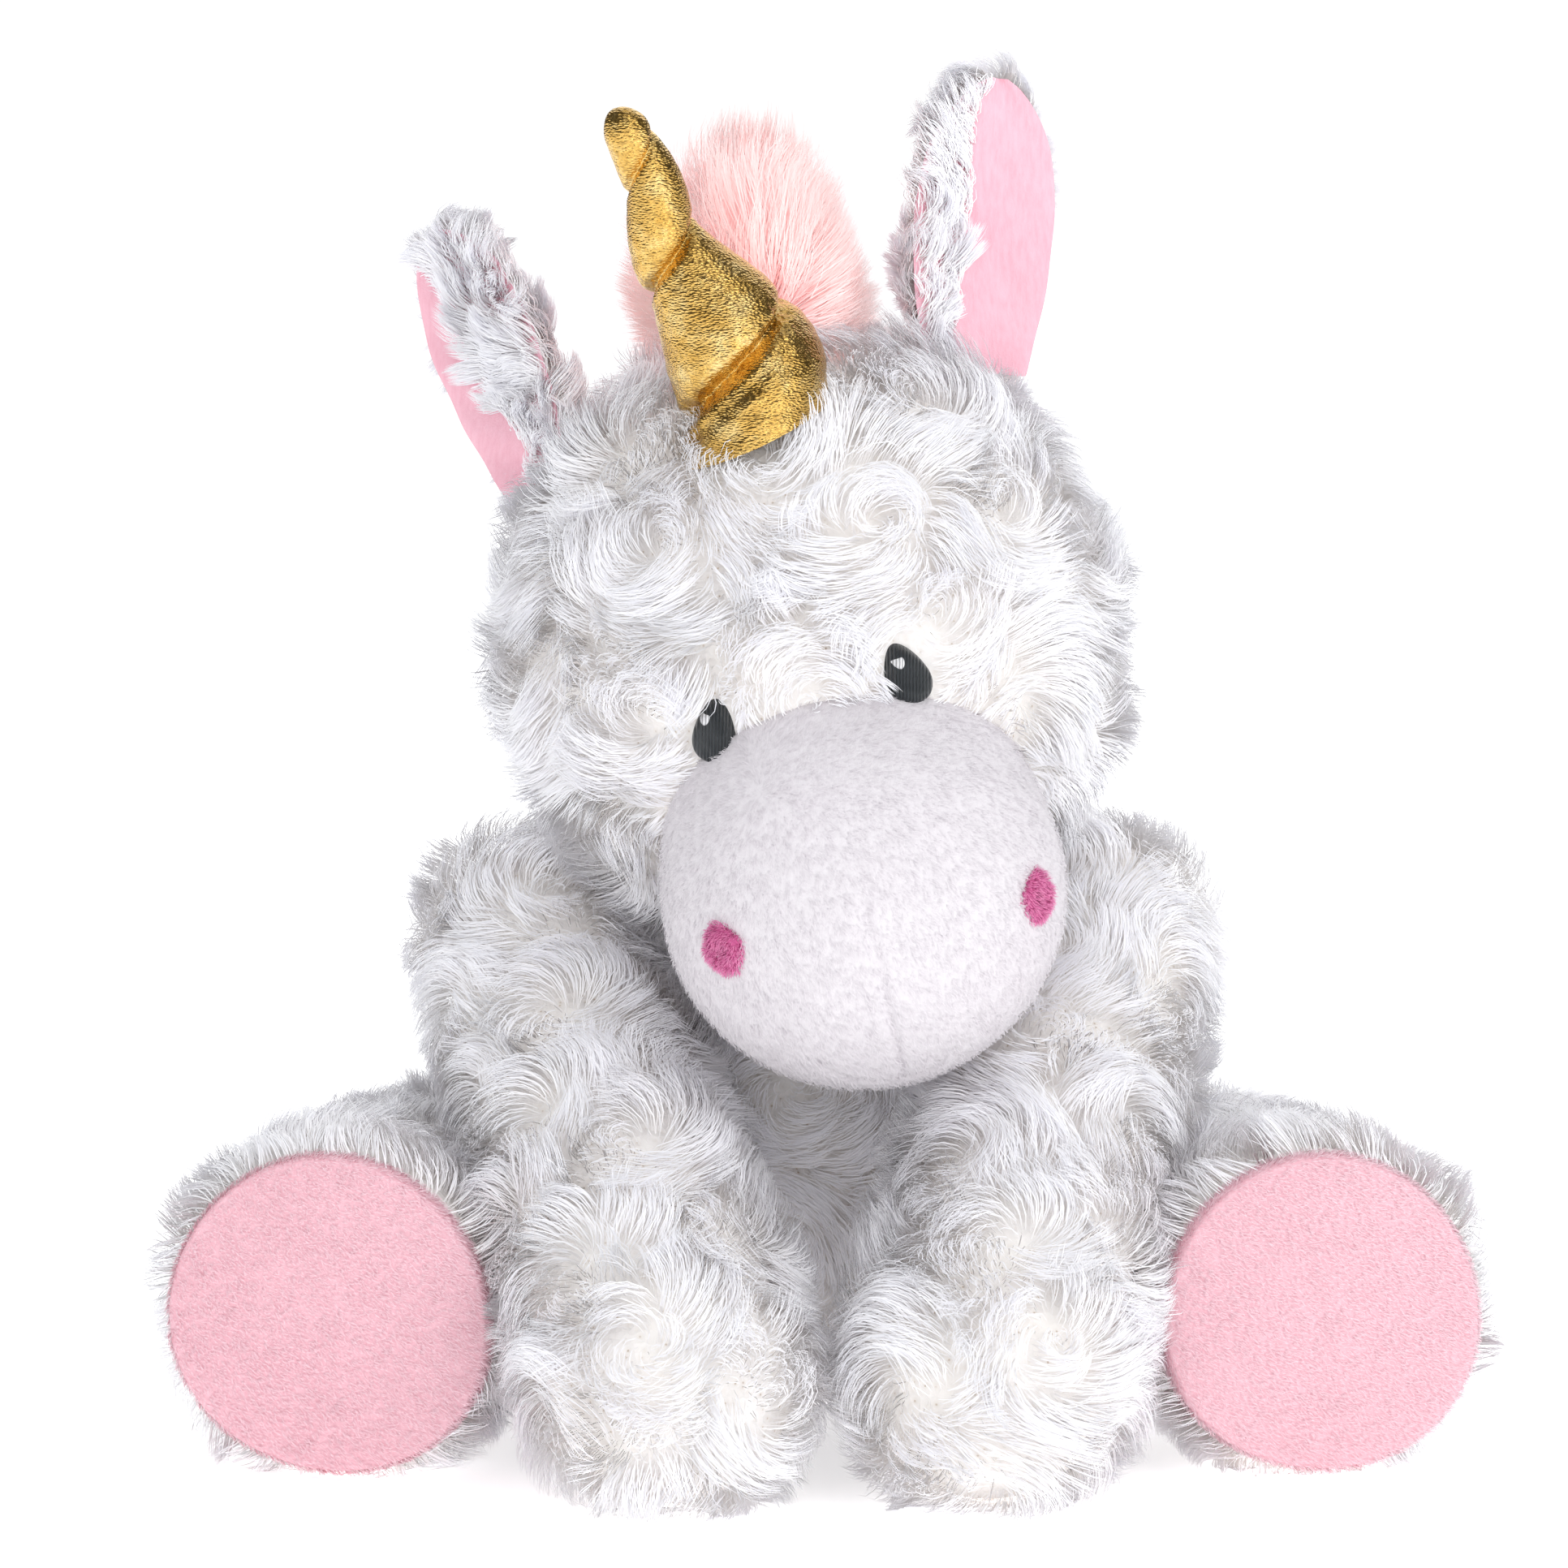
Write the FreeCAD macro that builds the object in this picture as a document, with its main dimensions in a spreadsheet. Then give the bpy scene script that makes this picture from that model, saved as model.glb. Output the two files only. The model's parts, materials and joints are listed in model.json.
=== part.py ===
import FreeCAD, Part
import os
import Sketcher
from FreeCAD import Placement, Rotation, Vector

# A seated plush unicorn. +Z is up, it faces -Y, and its own right side is at -X.
# The origin is on the surface it sits on, under the middle of its outline.
# Every soft piece is a fabric shell with its own filling inside it.

DIMENSIONS = {
    # fabric and the gaps between pieces
    "fabric": 1.2,
    "fill_gap": 0.3,
    "joint_gap": 0.6,
    "stitch": 0.05,
    # where the middle of the torso lies from the origin
    "centre_x": -1.35,
    "centre_y": 21.05,
    # torso: a wide seat and a narrower chest, flat underneath
    "seat_width": 160,
    "seat_depth": 124,
    "seat_height": 132,
    "seat_middle": 58,
    "chest_width": 132,
    "chest_depth": 104,
    "chest_height": 124,
    "chest_middle": 100,
    # weighted bag in the seat
    "bag_width": 92,
    "bag_depth": 76,
    "bag_height": 26,
    "bag_middle": 22,
    "bag_cloth": 0.6,
    # head: a ball that carries an egg-shaped muzzle
    "skull_radius": 67,
    "skull_side": -2,
    "skull_front": 52,
    "skull_middle": 184,
    "head_pitch": 39.85,
    "head_yaw": 1,
    "head_roll": -12.05,
    "muzzle_width": 93,
    "muzzle_length": 92,
    "muzzle_height": 87,
    "muzzle_reach": 79,
    "muzzle_drop": 3,
    # embroidered eyes and sewn nostrils, by their direction in the head
    "eye_width": 11,
    "eye_height": 15.5,
    "eye_right_lift": 28.2,
    "eye_right_spread": 25.2,
    "eye_left_lift": 32.6,
    "eye_left_spread": 20.2,
    "eye_thread": 0.9,
    "glint_size": 3.6,
    "nostril_size": 10.5,
    "nostril_right_lift": 24.3,
    "nostril_right_spread": 53.8,
    "nostril_left_lift": 14.8,
    "nostril_left_spread": 59.5,
    "nostril_pile": 1.1,
    # crest of the mane, a stuffed fin along the back of the head
    "crest_thickness": 16,
    "crest_radius": 38,
    "crest_offset": 68,
    "crest_angle": 150,
    "crest_side": 5,
    # collar that joins head and torso
    "collar_clearance": 0.5,
    "collar_outer": 82,
    "collar_inner": 60,
    "collar_tilt": 32,
    "neck_thread": 1,
    # wound horn
    "horn_angle": 96,
    "horn_spread": 5,
    "horn_stand": 2.8,
    "horn_sunk": 8,
    "horn_length": 84,
    "horn_radius": 17,
    "horn_bulge": 0.1,
    "horn_lean_side": -24,
    "horn_lean_front": 10,
    "horn_thread": 0.8,
    # ears
    "ear_width": 36,
    "ear_length": 84,
    "ear_thickness": 8,
    "ear_stand": 4.5,
    "ear_sunk": 8,
    "ear_right_root_side": -56,
    "ear_right_root_back": 4,
    "ear_right_root_up": 36,
    "ear_right_lean_side": -29,
    "ear_right_lean_back": -28.2,
    "ear_right_twist": -42,
    "ear_left_root_side": 34,
    "ear_left_root_back": 8.5,
    "ear_left_root_up": 56,
    "ear_left_lean_side": 6.5,
    "ear_left_lean_back": -4.6,
    "ear_left_twist": 26,
    # front legs
    "front_top_radius": 23,
    "front_end_radius": 28,
    "front_top_right_side": -67,
    "front_top_left_side": 67,
    "front_top_back": -39,
    "front_top_height": 112,
    "front_end_right_side": -33,
    "front_end_right_back": -144,
    "front_end_left_side": 37.5,
    "front_end_left_back": -142,
    "front_end_height": 28.3,
    "front_lift_front": 0.85,
    "front_right_lift_side": 0.2,
    "front_right_lift_up": 0.5,
    "front_left_lift_side": 0.35,
    "front_left_lift_up": 0.27,
    "front_travel": 40,
    # hind legs
    "hind_top_radius": 28,
    "hind_end_radius": 36.5,
    "hind_rim": 4,
    "hind_top_right_side": -91,
    "hind_top_right_back": 0,
    "hind_top_left_side": 90,
    "hind_top_left_back": 2,
    "hind_top_height": 33.5,
    "hind_end_right_side": -111,
    "hind_end_right_back": -122,
    "hind_end_left_side": 114,
    "hind_end_left_back": -120,
    "hind_end_height": 37.5,
    "hind_travel": 25,
    "pad_radius": 32.5,
    # tail
    "tail_root_radius": 8,
    "tail_end_radius": 13,
    "tail_length": 52,
    "tail_root_back": 69,
    "tail_root_height": 38,
    "tail_droop": 113,
}

document = FreeCAD.newDocument("PlushUnicorn")
sheet = document.addObject("Spreadsheet::Sheet", "Sizes")
for row, (alias, value) in enumerate(DIMENSIONS.items(), start=1):
    sheet.set(f"A{row}", alias)
    sheet.set(f"B{row}", str(value))
    sheet.setAlias(f"B{row}", alias)
document.recompute()

RIGHT, LEFT = -1, 1
SIDE_NAME = {RIGHT: "right", LEFT: "left"}
PARTS = []


def size(alias):
    """The value of one named cell, in millimetres or degrees."""
    return float(sheet.get(alias))


def formula(text):
    """Writes each cell's alias in a formula in the form that an expression needs."""
    words = text.replace("(", " ( ").replace(")", " ) ").split()
    return " ".join(f"Sizes.{word}" if word in DIMENSIONS else word for word in words)


def bind(item, **formulas):
    for name, text in formulas.items():
        item.setExpression(name, formula(text))
    return item


def add(kind, name, placement=Placement(), **formulas):
    """A primitive whose sizes follow the sheet."""
    item = document.addObject(kind, name)
    item.Label = name
    item.Placement = placement
    return bind(item, **formulas)


def cut(name, base, tool):
    item = document.addObject("Part::Cut", name)
    item.Label = name
    item.Base, item.Tool = base, tool
    return item


def common(name, base, tool):
    item = document.addObject("Part::Common", name)
    item.Label = name
    item.Base, item.Tool = base, tool
    return item


def fuse(name, items):
    item = document.addObject("Part::MultiFuse", name)
    item.Label = name
    item.Shapes = items
    return item


def keep(item):
    """Marks an object as a piece of the toy."""
    PARTS.append(item)
    return item


def ball(name, centre, radius):
    return add("Part::Sphere", name, Placement(centre, Rotation()), Radius=radius)


def egg(name, placement, width, depth, height, grow="0"):
    """An ellipsoid: its full width, depth and height lie along its own X, Y and Z."""
    return add(
        "Part::Ellipsoid",
        name,
        placement,
        Radius1=f"{height} / 2 + {grow}",
        Radius2=f"{width} / 2 + {grow}",
        Radius3=f"{depth} / 2 + {grow}",
    )


def turned(name, placement, draw):
    """A body turned about its own Z from half an outline that draw adds to its sketch."""
    body = document.addObject("PartDesign::Body", name)
    body.Label = name
    plane = [item for item in body.Origin.OriginFeatures if item.Role == "XZ_Plane"][0]
    sketch = body.newObject("Sketcher::SketchObject", name + "_outline")
    sketch.AttachmentSupport = [(plane, "")]
    sketch.MapMode = "FlatFace"
    draw(sketch)
    turn = body.newObject("PartDesign::Revolution", name + "_turn")
    turn.Profile = sketch
    turn.ReferenceAxis = (sketch, ["V_Axis"])
    turn.Angle = 360
    body.Placement = placement
    return body


def rule(sketch, text, kind, *where):
    """A constraint whose value follows a formula, in the state the outline was drawn in."""
    index = sketch.addConstraint(Sketcher.Constraint(kind, *where))
    sketch.setExpression(f"Constraints[{index}]", formula(text))


def tie(sketch, kind, *where):
    sketch.addConstraint(Sketcher.Constraint(kind, *where))


X_AXIS, Y_AXIS, START, END, CENTRE = -1, -2, 1, 2, 3
# How much of a limb's length the torso makes room for between the limb's two limits.
SECTOR_SHARE = 0.7


def sausage(top_radius, end_radius, reach, grow):
    """Half a limb: a round top, a straight flank and a round end."""

    def draw(sketch):
        top, end, length = size(top_radius), size(end_radius), reach
        flat = Vector(0, 0, 1)
        quarter = 1.5708
        sketch.addGeometry(Part.ArcOfCircle(Part.Circle(Vector(0, 0, 0), flat, top), -quarter, 0))
        sketch.addGeometry(Part.LineSegment(Vector(top, 0, 0), Vector(end, length, 0)))
        sketch.addGeometry(Part.ArcOfCircle(Part.Circle(Vector(0, length, 0), flat, end), 0, quarter))
        sketch.addGeometry(Part.LineSegment(Vector(0, length + end, 0), Vector(0, -top, 0)))
        tie(sketch, "Coincident", 0, CENTRE, X_AXIS, START)
        tie(sketch, "PointOnObject", 2, CENTRE, Y_AXIS)
        tie(sketch, "Tangent", 0, END, 1, START)
        tie(sketch, "Tangent", 1, END, 2, START)
        tie(sketch, "Coincident", 2, END, 3, START)
        tie(sketch, "Coincident", 3, END, 0, START)
        tie(sketch, "PointOnObject", 3, START, Y_AXIS)
        tie(sketch, "PointOnObject", 3, END, Y_AXIS)
        rule(sketch, f"{top_radius} + {grow}", "Radius", 0, top)
        rule(sketch, f"{end_radius} + {grow}", "Radius", 2, end)
        tie(sketch, "DistanceY", X_AXIS, START, 2, CENTRE, length)

    return draw


def boot(reach, grow):
    """Half a hind leg: a round top, a straight flank, a rounded rim and a flat sole."""

    def draw(sketch):
        top, end, rim = size("hind_top_radius"), size("hind_end_radius"), size("hind_rim")
        flat = Vector(0, 0, 1)
        quarter = 1.5708
        rim_circle = Part.Circle(Vector(end - rim, reach - rim, 0), flat, rim)
        sketch.addGeometry(Part.ArcOfCircle(Part.Circle(Vector(0, 0, 0), flat, top), -quarter, 0))
        sketch.addGeometry(Part.LineSegment(Vector(top, 0, 0), Vector(end, reach - rim, 0)))
        sketch.addGeometry(Part.ArcOfCircle(rim_circle, 0, quarter))
        sketch.addGeometry(Part.LineSegment(Vector(end - rim, reach, 0), Vector(0, reach, 0)))
        sketch.addGeometry(Part.LineSegment(Vector(0, reach, 0), Vector(0, -top, 0)))
        tie(sketch, "Coincident", 0, CENTRE, X_AXIS, START)
        tie(sketch, "Tangent", 0, END, 1, START)
        tie(sketch, "Tangent", 1, END, 2, START)
        tie(sketch, "Tangent", 2, END, 3, START)
        tie(sketch, "Horizontal", 3)
        tie(sketch, "Coincident", 3, END, 4, START)
        tie(sketch, "Coincident", 4, END, 0, START)
        tie(sketch, "PointOnObject", 4, START, Y_AXIS)
        tie(sketch, "PointOnObject", 4, END, Y_AXIS)
        rule(sketch, f"hind_top_radius + {grow}", "Radius", 0, top)
        rule(sketch, f"hind_rim + {grow}", "Radius", 2, rim)
        rule(sketch, "hind_end_radius - hind_rim", "DistanceX", X_AXIS, START, 2, CENTRE, end - rim)
        tie(sketch, "DistanceY", X_AXIS, START, 2, CENTRE, reach - rim)

    return draw


def sector(name, pivot, axis, start, angle, radius, thickness):
    """The slice that a limb sweeps through between its two limits, as part of a disc."""
    across = axis.cross(start)
    frame = Rotation(start, across, axis, "ZXY")
    item = document.addObject("Part::Cylinder", name)
    item.Label = name
    item.Angle = angle
    item.Radius = radius
    bind(item, Height=f"2 * ( {thickness} )")
    half = Vector(axis) * (-item.Height.Value / 2)
    item.Placement = Placement(pivot + half, frame)
    return item


class Limb:
    """A limb by its pivot, where it points at rest, and how far it turns about its axis."""

    def __init__(self, pivot, end, axis, travel, draw, top_radius):
        self.pivot = pivot
        self.reach = (end - pivot).Length
        self.direction = (end - pivot).normalize()
        self.axis = axis
        self.travel = travel
        self.draw = draw
        self.top_radius = top_radius

    def form(self, name, grow="0", angle=0):
        aim = Rotation(Vector(0, 0, 1), self.direction)
        turn = Rotation(self.axis, angle)
        return turned(name, Placement(self.pivot, turn.multiply(aim)), self.draw(self.reach, grow))

    def sweep(self, name, grow):
        """Everything the limb passes through over its travel, with room around it."""
        document.recompute()
        wedge = sector(name + "_sector", self.pivot, self.axis, self.direction, self.travel,
                       self.reach * SECTOR_SHARE, f"{self.top_radius} + {grow} + 2")
        low = self.form(name + "_low", grow)
        high = self.form(name + "_high", f"{grow} + stitch", self.travel)
        return [low, high, wedge]


def front_outline(reach, grow):
    return sausage("front_top_radius", "front_end_radius", reach, grow)


def tail_outline(reach, grow):
    return sausage("tail_root_radius", "tail_end_radius", reach, grow)


MIDDLE = Vector(size("centre_x"), size("centre_y"), 0)


def about_middle(side, back, height):
    """A point by the cells that say how far left, back and up it is from the torso's middle."""
    return MIDDLE + Vector(size(side), size(back), size(height))


def front_leg(side):
    """It lifts forward and outward, up from the surface that its end rests on."""
    name = SIDE_NAME[side]
    top = about_middle(f"front_top_{name}_side", "front_top_back", "front_top_height")
    end = about_middle(f"front_end_{name}_side", f"front_end_{name}_back", "front_end_height")
    aside, up = side * size(f"front_{name}_lift_side"), size(f"front_{name}_lift_up")
    lifted = Vector(aside, -size("front_lift_front"), up)
    axis = (end - top).cross(lifted).normalize()
    return Limb(top, end, axis, size("front_travel"), front_outline, "front_top_radius")


def hind_leg(side):
    """It splays outward about an upright axis."""
    name = SIDE_NAME[side]
    top = about_middle(f"hind_top_{name}_side", f"hind_top_{name}_back", "hind_top_height")
    end = about_middle(f"hind_end_{name}_side", f"hind_end_{name}_back", "hind_end_height")
    return Limb(top, end, Vector(0, 0, side), size("hind_travel"), boot, "hind_top_radius")


FRONT_LEGS = {side: front_leg(side) for side in (RIGHT, LEFT)}
HIND_LEGS = {side: hind_leg(side) for side in (RIGHT, LEFT)}

HEAD_CENTRE = MIDDLE + Vector(size("skull_side"), -size("skull_front"), size("skull_middle"))
HEAD_TURN = Rotation(Vector(0, 1, 0), size("head_roll"))
HEAD_TURN = HEAD_TURN.multiply(Rotation(Vector(0, 0, 1), size("head_yaw")))
HEAD_TURN = HEAD_TURN.multiply(Rotation(Vector(1, 0, 0), size("head_pitch")))
NECK_AXIS = Rotation(Vector(1, 0, 0), size("collar_tilt")).multVec(Vector(0, 0, 1))


def in_head(side, front, up):
    """A point of the head by how far it is left, forward and up from the skull's middle."""
    return HEAD_CENTRE + HEAD_TURN.multVec(Vector(side, -front, up))


def head_direction(spread, lift):
    """A direction in the head: spread to the left of straight ahead, and lifted."""
    level = Rotation(Vector(0, 0, 1), spread)
    raised = Rotation(Vector(1, 0, 0), -lift)
    return level.multiply(raised).multVec(Vector(0, -1, 0))


# ---- torso ------------------------------------------------------------------------------


def torso_form(name, inset):
    """The torso's outside, drawn in by inset, with room for the head and the four legs."""
    seat = egg(name + "_seat", Placement(MIDDLE + Vector(0, 0, size("seat_middle")), Rotation()),
               "seat_width", "seat_depth", "seat_height", f"( 0 - ( {inset} ) )")
    chest = egg(name + "_chest", Placement(MIDDLE + Vector(0, 0, size("chest_middle")), Rotation()),
                "chest_width", "chest_depth", "chest_height", f"( 0 - ( {inset} ) )")
    document.recompute()
    under = add("Part::Box", name + "_under", Length="seat_width", Width="seat_depth", Height="30")
    document.recompute()
    corner = Vector(-size("seat_width") / 2, -size("seat_depth") / 2, -30)
    under.Placement = Placement(MIDDLE + corner, Rotation())
    bind(under, **{".Placement.Base.z": f"{inset} - 30"})
    socket_room = f"skull_radius + collar_clearance + fabric + joint_gap + {inset}"
    rooms = [ball(name + "_socket", HEAD_CENTRE, socket_room), under]
    limbs = [(f"front_{SIDE_NAME[side]}", leg) for side, leg in FRONT_LEGS.items()]
    limbs += [(f"hind_{SIDE_NAME[side]}", leg) for side, leg in HIND_LEGS.items()]
    for limb_name, limb in limbs:
        rooms += limb.sweep(f"{name}_{limb_name}", f"joint_gap + {inset}")
    return cut(name, fuse(name + "_whole", [seat, chest]), fuse(name + "_rooms", rooms))


def torso():
    outside = torso_form("torso_outside", "0")
    inside = torso_form("torso_inside", "fabric")
    filling = torso_form("torso_filling", "fabric + fill_gap")
    bag_place = Placement(MIDDLE + Vector(0, 0, size("bag_middle")), Rotation())
    bag_size = ("bag_width", "bag_depth", "bag_height")
    bag_room = egg("bag_room", bag_place, *bag_size, "fill_gap")
    bag_outside = egg("bag_outside", bag_place, *bag_size)
    bag_inside = egg("bag_inside", bag_place, *bag_size, "( 0 - bag_cloth )")
    keep(cut("torso_fur_fabric", outside, inside))
    keep(cut("torso_stuffing", filling, bag_room))
    keep(cut("seat_pellet_bag", bag_outside, bag_inside))
    keep(egg("seat_pellets", bag_place, *bag_size, "( 0 - bag_cloth - fill_gap )"))


# ---- neck -------------------------------------------------------------------------------


def neck():
    """A ring of fabric around the head's underside, and the thread that gathers it."""
    down = Rotation(Vector(0, 0, 1), NECK_AXIS * -1)
    inner = ball("collar_inside", HEAD_CENTRE, "skull_radius + collar_clearance")
    outer = ball("collar_outside", HEAD_CENTRE, "skull_radius + collar_clearance + fabric")
    place = Placement(HEAD_CENTRE, down)
    wide = add("Part::Cylinder", "collar_wide", place, Radius="collar_outer / 2", Height="90")
    narrow = add("Part::Cylinder", "collar_narrow", place, Radius="collar_inner / 2", Height="90")
    ring = cut("collar_ring", wide, narrow)
    keep(common("neck_collar_fabric", cut("collar_shell", outer, inner), ring))
    thread_ring = size("collar_inner") / 2 - size("neck_thread")
    reach = size("skull_radius") + size("collar_clearance") + size("fabric") / 2
    depth = (reach ** 2 - thread_ring ** 2) ** 0.5
    keep(add("Part::Torus", "neck_gathering_thread", Placement(HEAD_CENTRE - NECK_AXIS * depth, down),
             Radius1="collar_inner / 2 - neck_thread", Radius2="neck_thread / 2"))


# ---- head -------------------------------------------------------------------------------


def muzzle_egg(name, grow):
    centre = in_head(0, size("muzzle_reach"), -size("muzzle_drop"))
    return egg(name, Placement(centre, HEAD_TURN), "muzzle_width", "muzzle_length", "muzzle_height",
               grow)


def eye(side):
    """An oval of satin stitch on the skull, cut off straight by the muzzle's seam."""
    name = SIDE_NAME[side]
    spread, lift = side * size(f"eye_{name}_spread"), size(f"eye_{name}_lift")
    centre = HEAD_CENTRE + HEAD_TURN.multVec(head_direction(spread, lift) * size("skull_radius"))
    aim = HEAD_TURN.multiply(Rotation(Vector(0, 0, 1), spread))
    aim = aim.multiply(Rotation(Vector(1, 0, 0), -lift))
    oval = add("Part::Ellipsoid", f"eye_{name}_oval", Placement(centre, aim),
               Radius1="eye_height / 2", Radius2="eye_width / 2", Radius3="6")
    inner = ball(f"eye_{name}_under", HEAD_CENTRE, "skull_radius + stitch")
    outer = ball(f"eye_{name}_over", HEAD_CENTRE, "skull_radius + stitch + eye_thread")
    layer = cut(f"eye_{name}_layer", outer, inner)
    patch = common(f"eye_{name}_patch", oval, layer)
    keep(cut(f"eye_{name}", patch, muzzle_egg(f"eye_{name}_trim", "stitch")))
    lifted = aim.multVec(Vector(-1.8, 0, 3.6))
    top = add("Part::Cylinder", f"eye_glint_{name}_disc", Placement(centre + lifted, aim.multiply(
        Rotation(Vector(1, 0, 0), 90))), Radius="glint_size / 2", Height="6")
    inner = ball(f"eye_glint_{name}_under", HEAD_CENTRE, "skull_radius + stitch * 2 + eye_thread")
    outer = ball(f"eye_glint_{name}_over", HEAD_CENTRE, "skull_radius + stitch * 2 + eye_thread * 1.5")
    keep(common(f"eye_glint_{name}", top, cut(f"eye_glint_{name}_layer", outer, inner)))


def nostril(side):
    """A round patch of pile on the muzzle."""
    name = f"nostril_{SIDE_NAME[side]}"
    spread, lift = side * size(f"{name}_spread"), size(f"{name}_lift")
    centre = in_head(0, size("muzzle_reach"), -size("muzzle_drop"))
    aim = HEAD_TURN.multiply(Rotation(Vector(0, 0, 1), spread))
    aim = aim.multiply(Rotation(Vector(1, 0, 0), 90 - lift))
    peg = add("Part::Cylinder", name + "_peg", Placement(centre, aim),
              Radius="nostril_size / 2", Height="muzzle_length")
    over = muzzle_egg(name + "_over", "stitch + nostril_pile")
    under = muzzle_egg(name + "_under", "stitch")
    keep(common(name, peg, cut(name + "_layer", over, under)))


def head():
    outside = ball("skull_outside", HEAD_CENTRE, "skull_radius")
    inside = ball("skull_inside", HEAD_CENTRE, "skull_radius - fabric")
    muzzle_outside = muzzle_egg("muzzle_outside", "0")
    shell = cut("skull_shell", outside, inside)
    keep(cut("head_fur_fabric", shell, muzzle_outside))
    muzzle_shell = cut("muzzle_shell", muzzle_egg("muzzle_skin", "0"),
                       muzzle_egg("muzzle_inside", "( 0 - fabric )"))
    keep(cut("muzzle_plush", muzzle_shell, ball("muzzle_trim", HEAD_CENTRE, "skull_radius + stitch")))
    filling = ball("skull_filling", HEAD_CENTRE, "skull_radius - fabric - fill_gap")
    keep(fuse("head_stuffing", [filling, muzzle_egg("muzzle_filling", "( 0 - fabric - fill_gap )")]))
    for side in (RIGHT, LEFT):
        eye(side)
        nostril(side)


def mane():
    """A fin of long pile that stands on the back of the head, with a little filling."""
    lean = Rotation(Vector(1, 0, 0), 90 - size("crest_angle"))
    along = Rotation(Vector(1, 0, 0), -size("crest_angle")).multVec(Vector(0, -1, 0))
    aside = Vector(size("crest_side"), 0, 0)
    centre = HEAD_CENTRE + HEAD_TURN.multVec(along * size("crest_offset") + aside)
    place = Placement(centre, HEAD_TURN.multiply(lean))
    fins = []
    for name, grow, base in (("crest_outside", "0", "skull_radius + stitch"),
                             ("crest_inside", "( 0 - fabric )", "skull_radius + stitch + fabric"),
                             ("crest_filling", "( 0 - fabric - fill_gap )",
                              "skull_radius + stitch + fabric + fill_gap")):
        fin = egg(name + "_fin", place, "crest_thickness", "2 * crest_radius", "2 * crest_radius", grow)
        fins.append(cut(name, fin, ball(name + "_base", HEAD_CENTRE, base)))
    keep(cut("mane_crest_fabric", fins[0], fins[1]))
    fins[2].Label = "mane_crest_stuffing"
    keep(fins[2])


# ---- horn -------------------------------------------------------------------------------

# Each winding of the horn: how far up the horn it ends, and how wide its waist is there,
# both as a share of the whole.
HORN_WAISTS = ((0.0, 0.92), (0.38, 0.74), (0.62, 0.52), (0.82, 0.36))
HORN_TIP = 0.14


def horn_outline(inset):
    """Half a horn: a flat base and one bulging arc for each winding."""

    def draw(sketch):
        height, radius, inwards = size("horn_length"), size("horn_radius"), inset
        points = [Vector(share * radius - inwards, up * height + (inwards if up == 0 else 0), 0)
                  for up, share in HORN_WAISTS]
        points.append(Vector(HORN_TIP * radius, height - inwards, 0))
        base = Vector(0, points[0].y, 0)
        tip = Vector(0, points[-1].y, 0)
        sketch.addGeometry(Part.LineSegment(base, points[0]))
        for low, high in zip(points, points[1:]):
            chord = high - low
            bulge = Vector(chord.y, -chord.x, 0) * size("horn_bulge")
            sketch.addGeometry(Part.Arc(low, (low + high) * 0.5 + bulge, high))
        sketch.addGeometry(Part.LineSegment(points[-1], tip))
        sketch.addGeometry(Part.LineSegment(tip, base))
        last = sketch.GeometryCount - 1
        for index in range(last):
            tie(sketch, "Coincident", index, END, index + 1, START)
        tie(sketch, "Coincident", last, END, 0, START)
        tie(sketch, "PointOnObject", last, START, Y_AXIS)
        tie(sketch, "PointOnObject", last, END, Y_AXIS)
        for index, (up, share) in enumerate(HORN_WAISTS):
            rise = inset if up == 0 else 0
            rule(sketch, f"horn_radius * {share} - {inset}", "DistanceX", X_AXIS, START, index, END,
                 points[index].x)
            if up == 0 and rise == 0:
                tie(sketch, "PointOnObject", index, END, X_AXIS)
            else:
                rule(sketch, f"horn_length * {up} + {rise}", "DistanceY", X_AXIS, START, index, END,
                     points[index].y)
        rule(sketch, f"horn_length - {inset}", "DistanceY", X_AXIS, START, last, START, tip.y)
        tie(sketch, "Horizontal", last - 1)
        tie(sketch, "Horizontal", 0)

    return draw


def horn():
    direction = head_direction(size("horn_spread"), size("horn_angle"))
    lean = Rotation(Vector(0, 1, 0), size("horn_lean_side"))
    lean = lean.multiply(Rotation(Vector(1, 0, 0), size("horn_lean_front")))
    stand = size("skull_radius") + size("horn_stand")
    root = HEAD_CENTRE + HEAD_TURN.multVec(direction * stand)
    base = root - lean.multVec(Vector(0, 0, size("horn_sunk")))
    place = Placement(base, lean)
    outside = turned("horn_outside", place, horn_outline(0))
    inside = turned("horn_inside", place, horn_outline(size("fabric")))
    shell = cut("horn_shell", outside, inside)
    keep(cut("horn_gold_fabric", shell, ball("horn_foot", HEAD_CENTRE, "skull_radius + horn_stand")))
    whole_filling = turned("horn_whole_filling", place, horn_outline(size("fabric") + size("fill_gap")))
    keep(cut("horn_stuffing", whole_filling,
             ball("horn_filling_foot", HEAD_CENTRE, "skull_radius + horn_stand + fill_gap")))
    turns = []
    for index, (up, share) in enumerate(HORN_WAISTS[1:]):
        waist = Placement(base + lean.multVec(Vector(0, 0, up * size("horn_length"))), lean)
        turns.append(add("Part::Torus", f"horn_thread_turn_{index}", waist,
                         Radius1=f"horn_radius * {share} + horn_thread / 2 + 4 * stitch",
                         Radius2="horn_thread / 2"))
    windings = document.addObject("Part::Compound", "horn_winding_thread")
    windings.Label = "horn_winding_thread"
    windings.Links = turns
    keep(windings)


# ---- ears -------------------------------------------------------------------------------


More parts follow.
